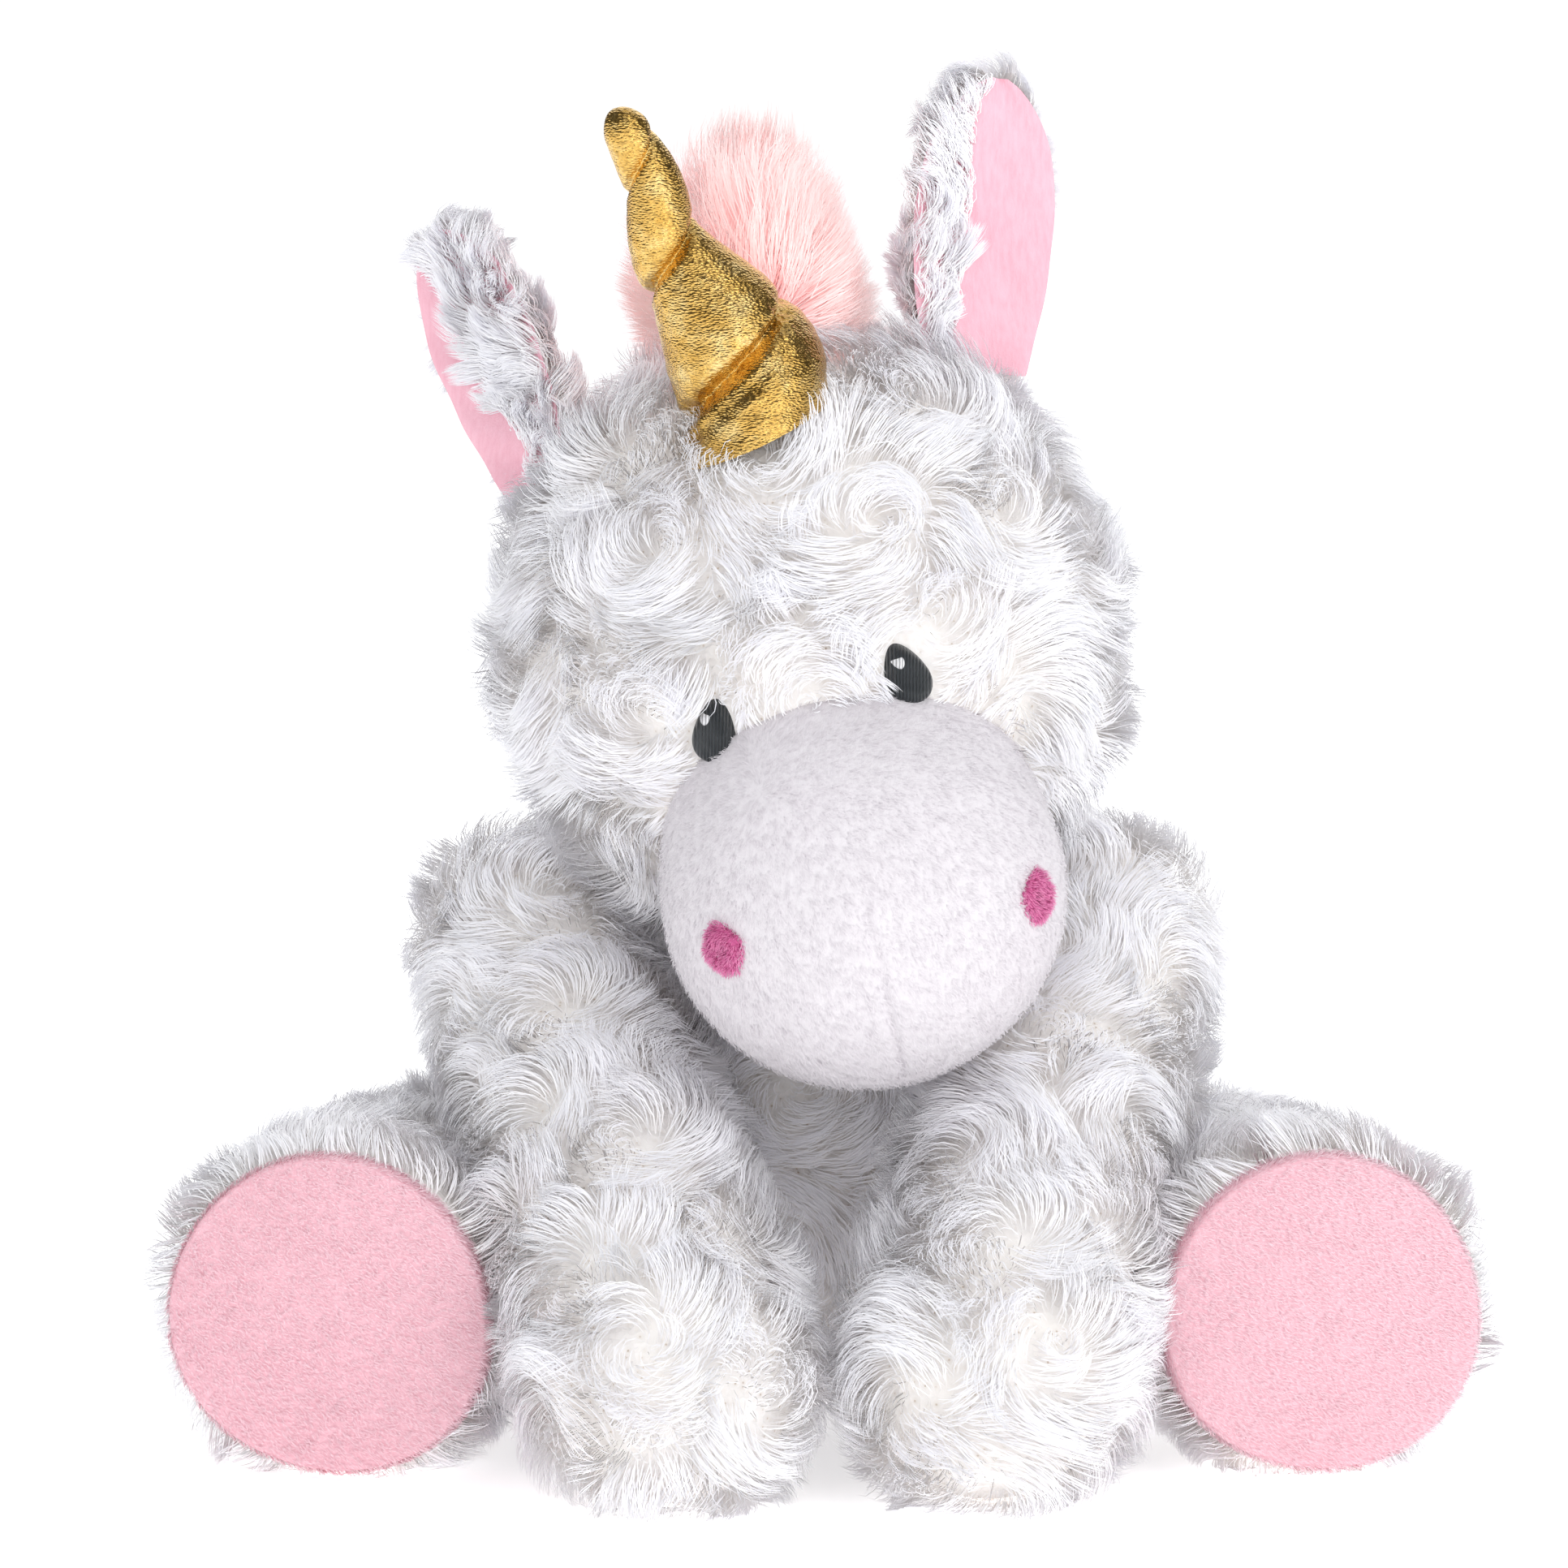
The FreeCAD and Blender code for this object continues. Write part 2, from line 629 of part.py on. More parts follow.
def ear(side):
    """A flat leaf: fur at the back and a short-pile lining at the front."""
    name = SIDE_NAME[side]
    aim = Rotation(Vector(0, 1, 0), size(f"ear_{name}_lean_side"))
    aim = aim.multiply(Rotation(Vector(1, 0, 0), size(f"ear_{name}_lean_back")))
    aim = aim.multiply(Rotation(Vector(0, 0, 1), size(f"ear_{name}_twist")))
    root = Vector(*[size(f"ear_{name}_root_{way}") for way in ("side", "back", "up")])
    root = root.normalize() * (size("skull_radius") + size("ear_stand"))
    place = Placement(HEAD_CENTRE + root, aim)
    middle = Placement(Vector(0, 0, size("ear_length") / 2 - size("ear_sunk")), Rotation())
    half = size("ear_width")
    halves = (("fur_back", 0.2), ("lining", -0.2 - half))
    for part, start in halves:
        leaf = egg(f"ear_{name}_{part}_leaf", place.multiply(middle), "ear_width", "ear_thickness",
                   "ear_length")
        corner = Placement(Vector(-half, start, 0), Rotation())
        block = add("Part::Box", f"ear_{name}_{part}_half", place.multiply(corner),
                    Length="2 * ear_width", Width="ear_width", Height="ear_length")
        keep(common(f"ear_{name}_{part}", leaf, block))


# ---- legs and tail ----------------------------------------------------------------------


def front_legs():
    for side, leg in FRONT_LEGS.items():
        name = f"front_leg_{SIDE_NAME[side]}"
        outside = leg.form(name + "_outside")
        inside = leg.form(name + "_inside", "( 0 - fabric )")
        keep(cut(name + "_fur_fabric", outside, inside))
        keep(leg.form(name + "_stuffing", "( 0 - fabric - fill_gap )"))


def hind_legs():
    for side, leg in HIND_LEGS.items():
        name = f"hind_leg_{SIDE_NAME[side]}"
        outside = leg.form(name + "_outside")
        shell = cut(name + "_shell", outside, leg.form(name + "_inside", "( 0 - fabric )"))
        aim = Rotation(Vector(0, 0, 1), leg.direction)
        sole = leg.pivot + leg.direction * (leg.reach - size("fabric"))
        hole = add("Part::Cylinder", name + "_sole_hole", Placement(sole - leg.direction * 0.5, aim),
                   Radius="pad_radius + stitch", Height="4 * fabric")
        keep(cut(name + "_fur_fabric", shell, hole))
        keep(leg.form(name + "_stuffing", "( 0 - fabric - fill_gap )"))
        keep(add("Part::Cylinder", f"foot_pad_{SIDE_NAME[side]}", Placement(sole, aim),
                 Radius="pad_radius", Height="fabric"))


def tail():
    aim = Rotation(Vector(1, 0, 0), -size("tail_droop"))
    root = MIDDLE + Vector(0, size("tail_root_back"), size("tail_root_height"))
    place = Placement(root, aim)
    outside = turned("tail_outside", place, tail_outline(size("tail_length"), "0"))
    inside = turned("tail_inside", place, tail_outline(size("tail_length"), "( 0 - fabric )"))
    keep(cut("tail_fur_fabric", outside, inside))
    filling = tail_outline(size("tail_length"), "( 0 - fabric - fill_gap )")
    keep(turned("tail_stuffing", place, filling))



torso()
neck()
head()
mane()
horn()
ear(RIGHT)
ear(LEFT)
front_legs()
hind_legs()
tail()
document.recompute()

faults = [item.Label for item in document.Objects if {"Invalid", "Error"} & set(item.State)]
for item in PARTS:
    if item.Shape.isNull() or not item.Shape.isValid():
        faults.append(item.Label)
if faults:
    raise RuntimeError("These pieces failed: " + ", ".join(faults))

os.makedirs("parts", exist_ok=True)
for item in PARTS:
    item.Shape.exportStep(os.path.join("parts", item.Label + ".step"))
box = FreeCAD.BoundBox()
for item in PARTS:
    box.add(item.Shape.BoundBox)
print(f"{len(PARTS)} pieces in a box {box.XMin:.1f}..{box.XMax:.1f}, {box.YMin:.1f}..{box.YMax:.1f},"
      f" {box.ZMin:.1f}..{box.ZMax:.1f} mm")
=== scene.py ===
import json
import math

import bpy
import numpy as np
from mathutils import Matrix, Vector
from mathutils.bvhtree import BVHTree
from mathutils.kdtree import KDTree


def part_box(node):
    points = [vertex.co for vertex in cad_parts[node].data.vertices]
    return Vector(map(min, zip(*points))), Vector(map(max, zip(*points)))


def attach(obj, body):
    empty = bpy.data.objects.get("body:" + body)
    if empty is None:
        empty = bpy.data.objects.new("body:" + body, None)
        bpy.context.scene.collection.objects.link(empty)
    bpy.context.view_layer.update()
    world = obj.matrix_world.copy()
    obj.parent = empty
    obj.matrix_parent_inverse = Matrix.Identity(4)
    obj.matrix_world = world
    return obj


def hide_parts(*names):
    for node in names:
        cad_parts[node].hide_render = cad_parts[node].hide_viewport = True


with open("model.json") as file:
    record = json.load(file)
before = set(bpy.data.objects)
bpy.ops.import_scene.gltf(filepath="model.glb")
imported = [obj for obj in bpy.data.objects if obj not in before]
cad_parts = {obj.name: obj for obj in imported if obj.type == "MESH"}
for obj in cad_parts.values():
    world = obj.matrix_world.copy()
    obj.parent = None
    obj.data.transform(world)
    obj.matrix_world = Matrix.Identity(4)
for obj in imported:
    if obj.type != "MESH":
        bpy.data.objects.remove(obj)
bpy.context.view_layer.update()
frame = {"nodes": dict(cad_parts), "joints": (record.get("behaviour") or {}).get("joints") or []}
MM = 0.001
JOINTS = {joint["name"]: joint for joint in frame["joints"]}
UP = np.array([0.0, 0.0, 1.0])

# How the head is held: the same turn that the CAD gives it.
HEAD_PITCH, HEAD_YAW, HEAD_ROLL = 39.85, 1, -12.05
SKULL_RADIUS = 67 * MM
MUZZLE_REACH, MUZZLE_DROP = 79 * MM, 3 * MM
MUZZLE_RADII = np.array([46.5, 46, 43.5]) * MM
SKIN_GAP, PILE_GAP = 0.5 * MM, 0.4 * MM  # over the floor


# ---- small helpers ---------------------------------------


def turn_about(axis, degrees):
    """A rotation matrix about one of the frame's axes."""
    c, s = math.cos(math.radians(degrees)), math.sin(math.radians(degrees))
    if axis == "X":
        return np.array([[1, 0, 0], [0, c, -s], [0, s, c]])
    if axis == "Y":
        return np.array([[c, 0, s], [0, 1, 0], [-s, 0, c]])
    return np.array([[c, -s, 0], [s, c, 0], [0, 0, 1]])


def unit(v):
    return v / np.maximum(np.linalg.norm(v, axis=-1, keepdims=True), 1e-9)


def circle(count):
    """Evenly spaced angles, once round."""
    return np.linspace(0, 2 * np.pi, count, endpoint=False)


def span(v):
    """The length of each vector."""
    return np.linalg.norm(v, axis=-1)


def dot(a, b):
    return np.sum(a * b, axis=-1, keepdims=True)


def turned(a, b, angle):
    """The direction a, turned by an angle towards b."""
    return a * np.cos(angle) + b * np.sin(angle)


def along_surface(v, normals):
    """The direction of v along the surfaces that have these normals."""
    return unit(v - normals * dot(v, normals))


def bump(distance, width):
    """1 at no distance, falling to 0 over a few widths."""
    return np.exp(-((distance / width) ** 2))


def tint(red, green, blue):
    """A linear colour from the usual display values."""
    return tuple(((c / 255 + 0.055) / 1.055) ** 2.4 for c in (red, green, blue)) + (1.0,)


def pivot(name):
    return np.array(JOINTS[name]["pos_m"])


def cad_points(*nodes):
    return np.array([v.co for n in nodes for v in frame["nodes"][n].data.vertices])


def main_axes(points):
    """The middle of some points, and their longest, middle and shortest directions."""
    middle = (points.min(0) + points.max(0)) / 2
    _, _, axes = np.linalg.svd(points - points.mean(0), full_matrices=False)
    return middle, axes[0], axes[1], axes[2]


def link(name, data):
    obj = bpy.data.objects.new(name, data)
    bpy.context.scene.collection.objects.link(obj)
    return obj


def mesh_object(name, points, faces):
    mesh = bpy.data.meshes.new(name)
    mesh.from_pydata([tuple(p) for p in points], [], faces)
    mesh.update()
    mesh.shade_smooth()
    return link(name, mesh)


def disc_faces(rings, spokes):
    """The faces of a middle point with rings of points round it."""
    faces = [[0, 1 + j, 1 + (j + 1) % spokes] for j in range(spokes)]
    for i in range(rings - 1):
        a, b = 1 + i * spokes, 1 + (i + 1) * spokes
        faces += [[a + j, b + j, b + (j + 1) % spokes, a + (j + 1) % spokes] for j in range(spokes)]
    return faces


def disc_grid(rings, spokes):
    """The share of the way out, and the angle, of each point of a disc."""
    share = np.concatenate([[0.0], np.linspace(1 / rings, 1, rings).repeat(spokes)])
    return share, np.concatenate([[0.0], np.tile(circle(spokes), rings)])


def tube_faces(rows, columns):
    """The faces of an open tube, from rows that each go once round it."""
    faces = []
    for i in range(rows - 1):
        a, b = i * columns, (i + 1) * columns
        faces += [[a + j, a + (j + 1) % columns, b + (j + 1) % columns, b + j] for j in range(columns)]
    return faces


def sheet_faces(rows, columns):
    """The faces of a grid of points."""
    faces = []
    for i in range(rows - 1):
        a, b = i * columns, (i + 1) * columns
        faces += [[a + j, a + j + 1, b + j + 1, b + j] for j in range(columns - 1)]
    return faces


def on_or_above(obj, height):
    """Lifts the points that are below a height up to it."""
    points = points_of(obj.data)
    points[:, 2] = np.maximum(points[:, 2], height)
    move_points(obj.data, points)


def rows_of(items, key):
    """One property of a mesh's items, in rows of three numbers."""
    flat = np.empty(len(items) * 3)
    items.foreach_get(key, flat)
    return flat.reshape(-1, 3)


def points_of(mesh):
    return rows_of(mesh.vertices, "co")


def move_points(mesh, points):
    mesh.vertices.foreach_set("co", points.astype(np.float32).ravel())
    mesh.update()


def normals_of(mesh):
    return rows_of(mesh.vertex_normals, "vector")


def evaluated(obj):
    """The object's mesh with its modifiers, as a new mesh."""
    bpy.context.view_layer.update()
    graph = bpy.context.evaluated_depsgraph_get()
    return bpy.data.meshes.new_from_object(obj.evaluated_get(graph))


def apply_modifiers(obj):
    mesh = evaluated(obj)
    obj.modifiers.clear()
    old, obj.data = obj.data, mesh
    bpy.data.meshes.remove(old)
    obj.data.shade_smooth()
    return obj


def subdivide(obj):
    obj.modifiers.new("smooth", "SUBSURF").levels = 1
    return apply_modifiers(obj)


def tree_of(obj):
    mesh = obj.data
    return BVHTree.FromPolygons([v.co for v in mesh.vertices], [p.vertices for p in mesh.polygons])


# ---- materials -------------------------------------------


class Nodes:
    """Builds one node material."""

    def __init__(self, name):
        self.material = bpy.data.materials.new(name)
        self.material.use_nodes = True
        self.tree = self.material.node_tree
        self.shader = self.tree.nodes["Principled BSDF"]
        self.where = self.add("ShaderNodeTexCoord").outputs["Object"]

    def add(self, kind, **settings):
        node = self.tree.nodes.new(kind)
        for key, value in settings.items():
            setattr(node, key, value)
        return node

    def join(self, a, b):
        self.tree.links.new(a, b)

    def put(self, node, **values):
        for key, value in values.items():
            node.inputs[key.replace("_", " ")].default_value = value
        return node

    def set(self, **values):
        self.put(self.shader, **values)

    def stretched(self, scale):
        mapping = self.put(self.add("ShaderNodeMapping"), Scale=scale)
        self.join(self.where, mapping.inputs["Vector"])
        return mapping.outputs["Vector"]

    def texture(self, kind, vector=None, **values):
        node = self.put(self.add("ShaderNodeTex" + kind), **values)
        self.join(vector or self.where, node.inputs["Vector"])
        return node

    def noise(self, scale, detail=3.0, rough=0.55, vector=None):
        return self.texture("Noise", vector, Scale=scale, Detail=detail, Roughness=rough).outputs["Fac"]

    def ramp(self, value, *stops):
        node = self.add("ShaderNodeValToRGB")
        band = node.color_ramp
        while len(band.elements) < len(stops):
            band.elements.new(0.5)
        for element, (place, colour) in zip(band.elements, stops):
            element.position = place
            element.color = colour
        self.join(value, node.inputs["Fac"])
        return node.outputs["Color"]

    def mix(self, kind, factor, a, b):
        node = self.put(self.add("ShaderNodeMix", data_type="RGBA", blend_type=kind), Factor=factor)
        self.join(a, node.inputs["A"])
        self.join(b, node.inputs["B"])
        return node.outputs["Result"]

    def total(self, a, b, share):
        """a plus a share of b."""
        node = self.add("ShaderNodeMath", operation="MULTIPLY_ADD")
        self.join(b, node.inputs[0])
        node.inputs[1].default_value = share
        self.join(a, node.inputs[2])
        return node.outputs["Value"]

    def colour(self, socket):
        self.join(socket, self.shader.inputs["Base Color"])

    def relief(self, height, distance, strength=1.0):
        node = self.put(self.add("ShaderNodeBump"), Distance=distance, Strength=strength)
        self.join(height, node.inputs["Height"])
        self.join(node.outputs["Normal"], self.shader.inputs["Normal"])


def fibre(name, colour, sheen, painted_glow):
    """One colour of pile fibre. Its emission is a painted glow, standing in for the light that thin
    pile lets pass.
    """
    made = Nodes(name)
    made.set(Emission_Color=colour, Emission_Strength=painted_glow)
    made.set(Base_Color=colour, Roughness=0.55, Specular_IOR_Level=0.25)
    made.set(Sheen_Weight=sheen, Sheen_Roughness=0.5)
    return made.material


def plush(name, light, middle, dark, nap=(1.0, 1.0, 1.0), mottle=45.0):
    """Short brushed pile: fine tufts, streaks along the nap and soft uneven patches."""
    made = Nodes(name)
    tufts = made.noise(1900.0, 2.0, 0.6)
    streaks = made.noise(850.0, 3.0, 0.6, made.stretched(nap))
    patches = made.noise(mottle, 3.0, 0.5)
    fine = made.ramp(streaks, (0.3, dark), (0.55, middle), (0.75, light))
    broad = made.ramp(patches, (0.3, middle), (0.7, light))
    made.colour(made.mix("MIX", 0.45, broad, fine))
    made.relief(made.total(streaks, tufts, 0.5), 0.3 * MM, 0.7)
    made.set(Roughness=0.9, Specular_IOR_Level=0.2, Sheen_Weight=0.25, Sheen_Roughness=0.4)
    return made.material


def backing():
    """The cream knit that the long pile grows from, with small tufting holes painted dark brown as the
    shade inside them.
    """
    made = Nodes("knit_backing")
    cells = made.texture("Voronoi", Scale=420.0)
    # Painted shade: each cell's middle, the tufting hole, is dark brown.
    hole_shade = made.ramp(cells.outputs["Distance"], (0.0, tint(170, 138, 98)), (0.16, tint(245, 241, 236)),
                      (0.45, tint(251, 249, 247)))
    patches = made.ramp(made.noise(60.0), (0.35, tint(250, 248, 245)), (0.65, tint(252, 251, 250)))
    made.colour(made.mix("MULTIPLY", 0.8, patches, hole_shade))
    made.relief(cells.outputs["Distance"], 0.4 * MM)
    made.set(Roughness=0.95, Specular_IOR_Level=0.1)
    return made.material


def foil(name):
    """Gold foil on a stretched knit: it shines, and is broken up by the stitches."""
    made = Nodes(name)
    knit = made.texture("Voronoi", made.stretched((0.6, 0.6, 1.3)), Scale=1800.0)
    worn = made.noise(160.0, 4.0, 0.65)
    base = made.ramp(worn, (0.30, tint(214, 174, 94)), (0.5, tint(232, 196, 120)),
                     (0.72, tint(250, 226, 166)))
    specks = made.ramp(knit.outputs["Distance"], (0.15, tint(255, 250, 232)),
                       (0.5, tint(240, 218, 166)), (0.85, tint(136, 110, 58)))
    made.colour(made.mix("MULTIPLY", 0.5, base, specks))
    made.relief(knit.outputs["Distance"], 0.3 * MM, 0.7)
    made.set(Metallic=1.0, Roughness=0.25)
    return made.material


def satin(name, colour, gloss):
    """Rows of embroidery thread, darker between the rows: painted shade in the grooves."""
    made = Nodes(name)
    rows = made.texture("Wave", Scale=420.0, Distortion=1.5, Detail_Scale=2.0)
    # A darker copy of the thread colour, painted shade where the rows meet.
    dark = tuple(c * 0.45 for c in colour[:3]) + (1.0,)
    made.colour(made.ramp(rows.outputs["Fac"], (0.1, dark), (0.7, colour)))
    made.relief(rows.outputs["Fac"], 0.3 * MM)
    made.set(Roughness=gloss, Sheen_Weight=0.1)
    return made.material


def yarn(name, colour):
    made = Nodes(name)
    twist = made.texture("Wave", Scale=700.0)
    twist.bands_direction = "DIAGONAL"
    # A darker copy of the thread colour, painted shade in the grooves of the twist.
    dark = tuple(c * 0.5 for c in colour[:3]) + (1.0,)
    made.colour(made.ramp(twist.outputs["Fac"], (0.2, dark), (0.8, colour)))
    made.relief(twist.outputs["Fac"], 0.2 * MM)
    made.set(Roughness=0.6)
    return made.material


def fur(name, sheen, painted_glow, *colours):
    """The fibre of a strand's root and middle, and of its two kinds of tip. The root is given a darker
    colour: painted shade deep in the pile.
    """
    parts = ("root", "middle", "tip", "warm_tip")
    return [fibre(f"{name}_{part}", tint(*colour), sheen, painted_glow)
            for part, colour in zip(parts, colours)]


# Each pile's root colour is darker than its tips: painted shade deep in the pile.
WHITE_FUR = fur("white_fur", 0.4, 0.0,
                (249, 246, 245), (252, 251, 253), (251, 251, 255), (253, 252, 254))
# The pink pile's emission is a painted glow for the light that thin pile lets pass.
PINK_FUR = fur("pink_fur", 1.0, 0.25,
               (255, 198, 196), (255, 210, 208), (255, 227, 225), (255, 218, 215))
MUZZLE_NAP = fur("muzzle_nap", 0.15, 0.0,
                 (220, 216, 220), (226, 221, 225), (232, 227, 231), (227, 222, 226))
MAGENTA_NAP = fur("magenta_nap", 0.1, 0.0,
                  (184, 62, 122), (218, 104, 158), (238, 144, 190), (228, 122, 174))
PAD_NAP = fur("pad_nap", 0.15, 0.0,
              (236, 197, 208), (242, 207, 216), (249, 219, 227), (244, 212, 220))
KNIT = backing()
MUZZLE_PLUSH = plush("muzzle_plush_pile", tint(227, 222, 226), tint(221, 217, 220), tint(209, 204, 208),
                     nap=(1.0, 0.35, 0.35))
PAD_PLUSH = plush("pad_plush_pile", tint(240, 199, 208), tint(233, 187, 197), tint(223, 171, 183))
EAR_PLUSH = plush("ear_plush_pile", tint(243, 194, 207), tint(239, 182, 196), tint(228, 160, 176),
                  nap=(1.0, 1.0, 0.25))
NOSTRIL_PLUSH = plush("nostril_pile", tint(228, 124, 176), tint(210, 92, 150), tint(166, 52, 110),
                      mottle=260.0)
# Darker magenta for the nostrils' dimples: painted shade in the hollow.
SHADED_DIMPLE_PLUSH = plush("nostril_dimple_shade_pile", tint(170, 56, 112), tint(140, 34, 86), tint(96, 18, 54),
                   mottle=260.0)
GOLD = foil("gold_lame")
GOLD_THREAD = foil("gold_winding_thread")
WHITE_THREAD = yarn("white_gathering_thread", tint(236, 232, 226))
BLACK_SATIN = satin("black_satin_stitch", tint(44, 50, 54), 0.42)
WHITE_SATIN = satin("white_satin_stitch", tint(250, 250, 252), 0.5)


# ---- padded forms ----------------------------------------

CLOTH_STEPS = 20


def largest_part(mesh):
    """Keeps only the connected part with the most points."""
    owner = list(range(len(mesh.vertices)))

    def find(i):
        while owner[i] != i:
            owner[i] = owner[owner[i]]
            i = owner[i]
        return i

    for edge in mesh.edges:
        a, b = (find(i) for i in edge.vertices)
        owner[a] = b
    roots = np.array([find(i) for i in range(len(owner))])
    names, counts = np.unique(roots, return_counts=True)
    kept = roots == names[counts.argmax()]
    index = np.cumsum(kept) - 1
    points = points_of(mesh)[kept]
    faces = [[int(index[i]) for i in p.vertices] for p in mesh.polygons if kept[p.vertices[0]]]
    return points, faces


def stuffed(name, node, cap, voxel=5 * MM, swell=1.4 * MM, pressure=4.0, relax=0):
    """A soft form that starts from a CAD filling and swells as cloth under pressure."""
    start = link(name + "_start", frame["nodes"][node].data.copy())
    start.data.materials.clear()
    remesh = start.modifiers.new("voxels", "REMESH")
    remesh.mode = "VOXEL"
    remesh.voxel_size = voxel
    apply_modifiers(start)
    points, faces = largest_part(start.data)
    bpy.data.objects.remove(start)
    obj = mesh_object(name, points, faces)
    if relax:
        calm = obj.modifiers.new("calm", "SMOOTH")
        calm.iterations = relax
        apply_modifiers(obj)
    move_points(obj.data, points_of(obj.data) + normals_of(obj.data) * swell)
    puff(obj, cap, pressure)
    return subdivide(obj)


def puff(obj, cap, pressure, held=None):
    """Blows the mesh up as cloth. No point moves further than cap, and held ones don't move."""
    before = points_of(obj.data)
    cloth = obj.modifiers.new("cloth", "CLOTH")
    cloth.settings.quality = 5
    cloth.settings.use_pressure = True
    cloth.settings.uniform_pressure_force = pressure
    cloth.settings.effector_weights.gravity = 0
    cloth.point_cache.frame_start, cloth.point_cache.frame_end = 1, CLOTH_STEPS
    if held is not None:
        group = obj.vertex_groups.new(name="held")
        group.add([int(i) for i in held], 1.0, "REPLACE")
        cloth.settings.vertex_group_mass = group.name
    for step in range(1, CLOTH_STEPS + 1):
        bpy.context.scene.frame_set(step)
    after = points_of(evaluated(obj))
    obj.modifiers.clear()
    bpy.context.scene.frame_set(1)
    moved = after - before
    length = span(moved)[:, None]
    move_points(obj.data, before + moved * np.minimum(1, cap / np.maximum(length, 1e-9)))


def declare(obj, body, nodes, material):
    """Says what a piece rides on, what it stands for and what it is made of."""
    obj.data.materials.clear()
    obj.data.materials.append(material)
    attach(obj, body)
    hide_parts(*nodes)
    return obj


# ---- pile ------------------------------------------------

SEGMENTS = 4  # of each strand
MOST_STRANDS = 26000  # in one piece, so that no mesh is too large to handle
TUFT = 10.5 * MM
CURL_SAMPLE, CURLS_MOST = 6000, 400
LOCK_SAMPLE, LOCKS_MOST = 14000, 9000


class Egg:
    """An ellipsoid that strands are kept out of."""

    def __init__(self, centre, turn, radii):
        self.centre, self.turn, self.radii = centre, turn, np.asarray(radii)

    def scaled(self, points):
        return ((points - self.centre) @ self.turn) / self.radii

    def share(self, points):
        """How far out each point is: below 1 is inside."""
        return span(self.scaled(points))

    def push(self, points):
        local = self.scaled(points)
        length = np.maximum(span(local)[..., None], 1e-6)
        out = local / np.minimum(length, 1.0)
        return (out * self.radii) @ self.turn.T + self.centre


def scatter(obj, count, rng, where=None):
    """Random points on a mesh, with the normals there."""
    mesh = obj.data
    mesh.calc_loop_triangles()
    corners = np.empty(len(mesh.loop_triangles) * 3, np.int32)
    mesh.loop_triangles.foreach_get("vertices", corners)
    corners = corners.reshape(-1, 3)
    points, normals = points_of(mesh), normals_of(mesh)
    a, b, c = (points[corners[:, i]] for i in range(3))
    area = span(np.cross(b - a, c - a))
    pick = rng.choice(len(area), count, p=area / area.sum())
    u, v = rng.random(count), rng.random(count)
    over = u + v > 1
    u[over], v[over] = 1 - u[over], 1 - v[over]
    share = np.stack([1 - u - v, u, v], axis=1)[:, :, None]
    found = np.sum(points[corners[pick]] * share, axis=1)
    facing = unit(np.sum(normals[corners[pick]] * share, axis=1))
    if where is not None:
        kept = where(found)
        found, facing = found[kept], facing[kept]
    return found, facing


def spread_out(points, spacing, most):
    """Some of the points, none nearer to another than spacing."""
    chosen = []
    free = np.ones(len(points), bool)
    for index in range(len(points)):
        if free[index]:
            chosen.append(index)
            free &= span(points - points[index]) > spacing
            if len(chosen) == most:
                break
    return np.array(chosen)


def rosettes(points, normals, spacing, rng):
    """The lay of curled pile: it winds round a middle, and stands up where two windings meet."""
    sample = rng.permutation(len(points))[:CURL_SAMPLE]
    centres = points[sample[spread_out(points[sample], spacing, CURLS_MOST)]]
    spin = rng.choice([-1.0, 1.0], len(centres))
    angle = np.radians(rng.uniform(40, 72, len(centres)))
    away = points[:, None] - centres[None]
    distance = span(away)
    nearest = np.argsort(distance, axis=1)[:, :4]
    flow = np.zeros_like(points)
    weight = np.zeros(len(points))
    turning = np.zeros(len(points))
    every = np.arange(len(points))
    for which in nearest.T:
        outwards = along_surface(away[every, which], normals)
        round_about = np.cross(normals, outwards) * spin[which][:, None]
        w = bump(distance[every, which], 0.42 * spacing) + 1e-6
        flow += turned(outwards, round_about, angle[which][:, None]) * w[:, None]
        turning += spin[which] * w
        weight += w
    agreement = span(flow) / weight
    return {
        "flow": unit(flow),
        "stand": 1 - agreement,
        "turning": turning / weight,
        "from_middle": distance.min(axis=1),
    }


def strands(roots, normals, lay, length, rng, lean=(30, 62, 82), curl=55, fall=0.12, wild=14):
    """Paths of single strands, each a row of points from its root to its tip."""
    count = len(roots)
    stray = np.radians(rng.normal(0, wild, count))[:, None]
    flow = turned(lay["flow"], np.cross(normals, lay["flow"]), stray)
    across = np.cross(normals, flow)
    stand = lay["stand"][:, None]
    path = np.empty((count, SEGMENTS + 1, 3))
    path[:, 0] = roots
    step = (length / SEGMENTS)[:, None]
    offset = rng.normal(0, wild * 0.5, count)[:, None]
    for j in range(SEGMENTS):
        t = j / (SEGMENTS - 1)
        low = np.interp(t, [0, 0.5, 1], lean)
        tilt = np.radians(low * (1 - 0.55 * stand) + offset)
        swing = (np.radians(curl * t) * lay["turning"])[:, None]
        aim = turned(normals, turned(flow, across, swing), tilt) - UP * (fall * t)
        path[:, j + 1] = path[:, j] + unit(aim) * step
    return path


def locks(path, size, strength, rng):
    """Draws strands together towards their tips, into thin locks about size apart."""
    roots = path[:, 0]
    leaders, own = families(roots, size, rng)
    own = leaders[own]
    for j in range(1, SEGMENTS + 1):
        path[:, j] += (path[own, j] - path[:, j]) * (strength * (j / SEGMENTS) ** 1.3)


def families(roots, size, rng):
    """Some roots about size apart, and for every root which of those is the nearest."""
    sample = rng.permutation(len(roots))[:LOCK_SAMPLE]
    leaders = sample[spread_out(roots[sample], size, LOCKS_MOST)]
    tree = KDTree(len(leaders))
    for i, index in enumerate(leaders):
        tree.insert(roots[index], i)
    tree.balance()
    return leaders, np.array([tree.find(root)[1] for root in roots])


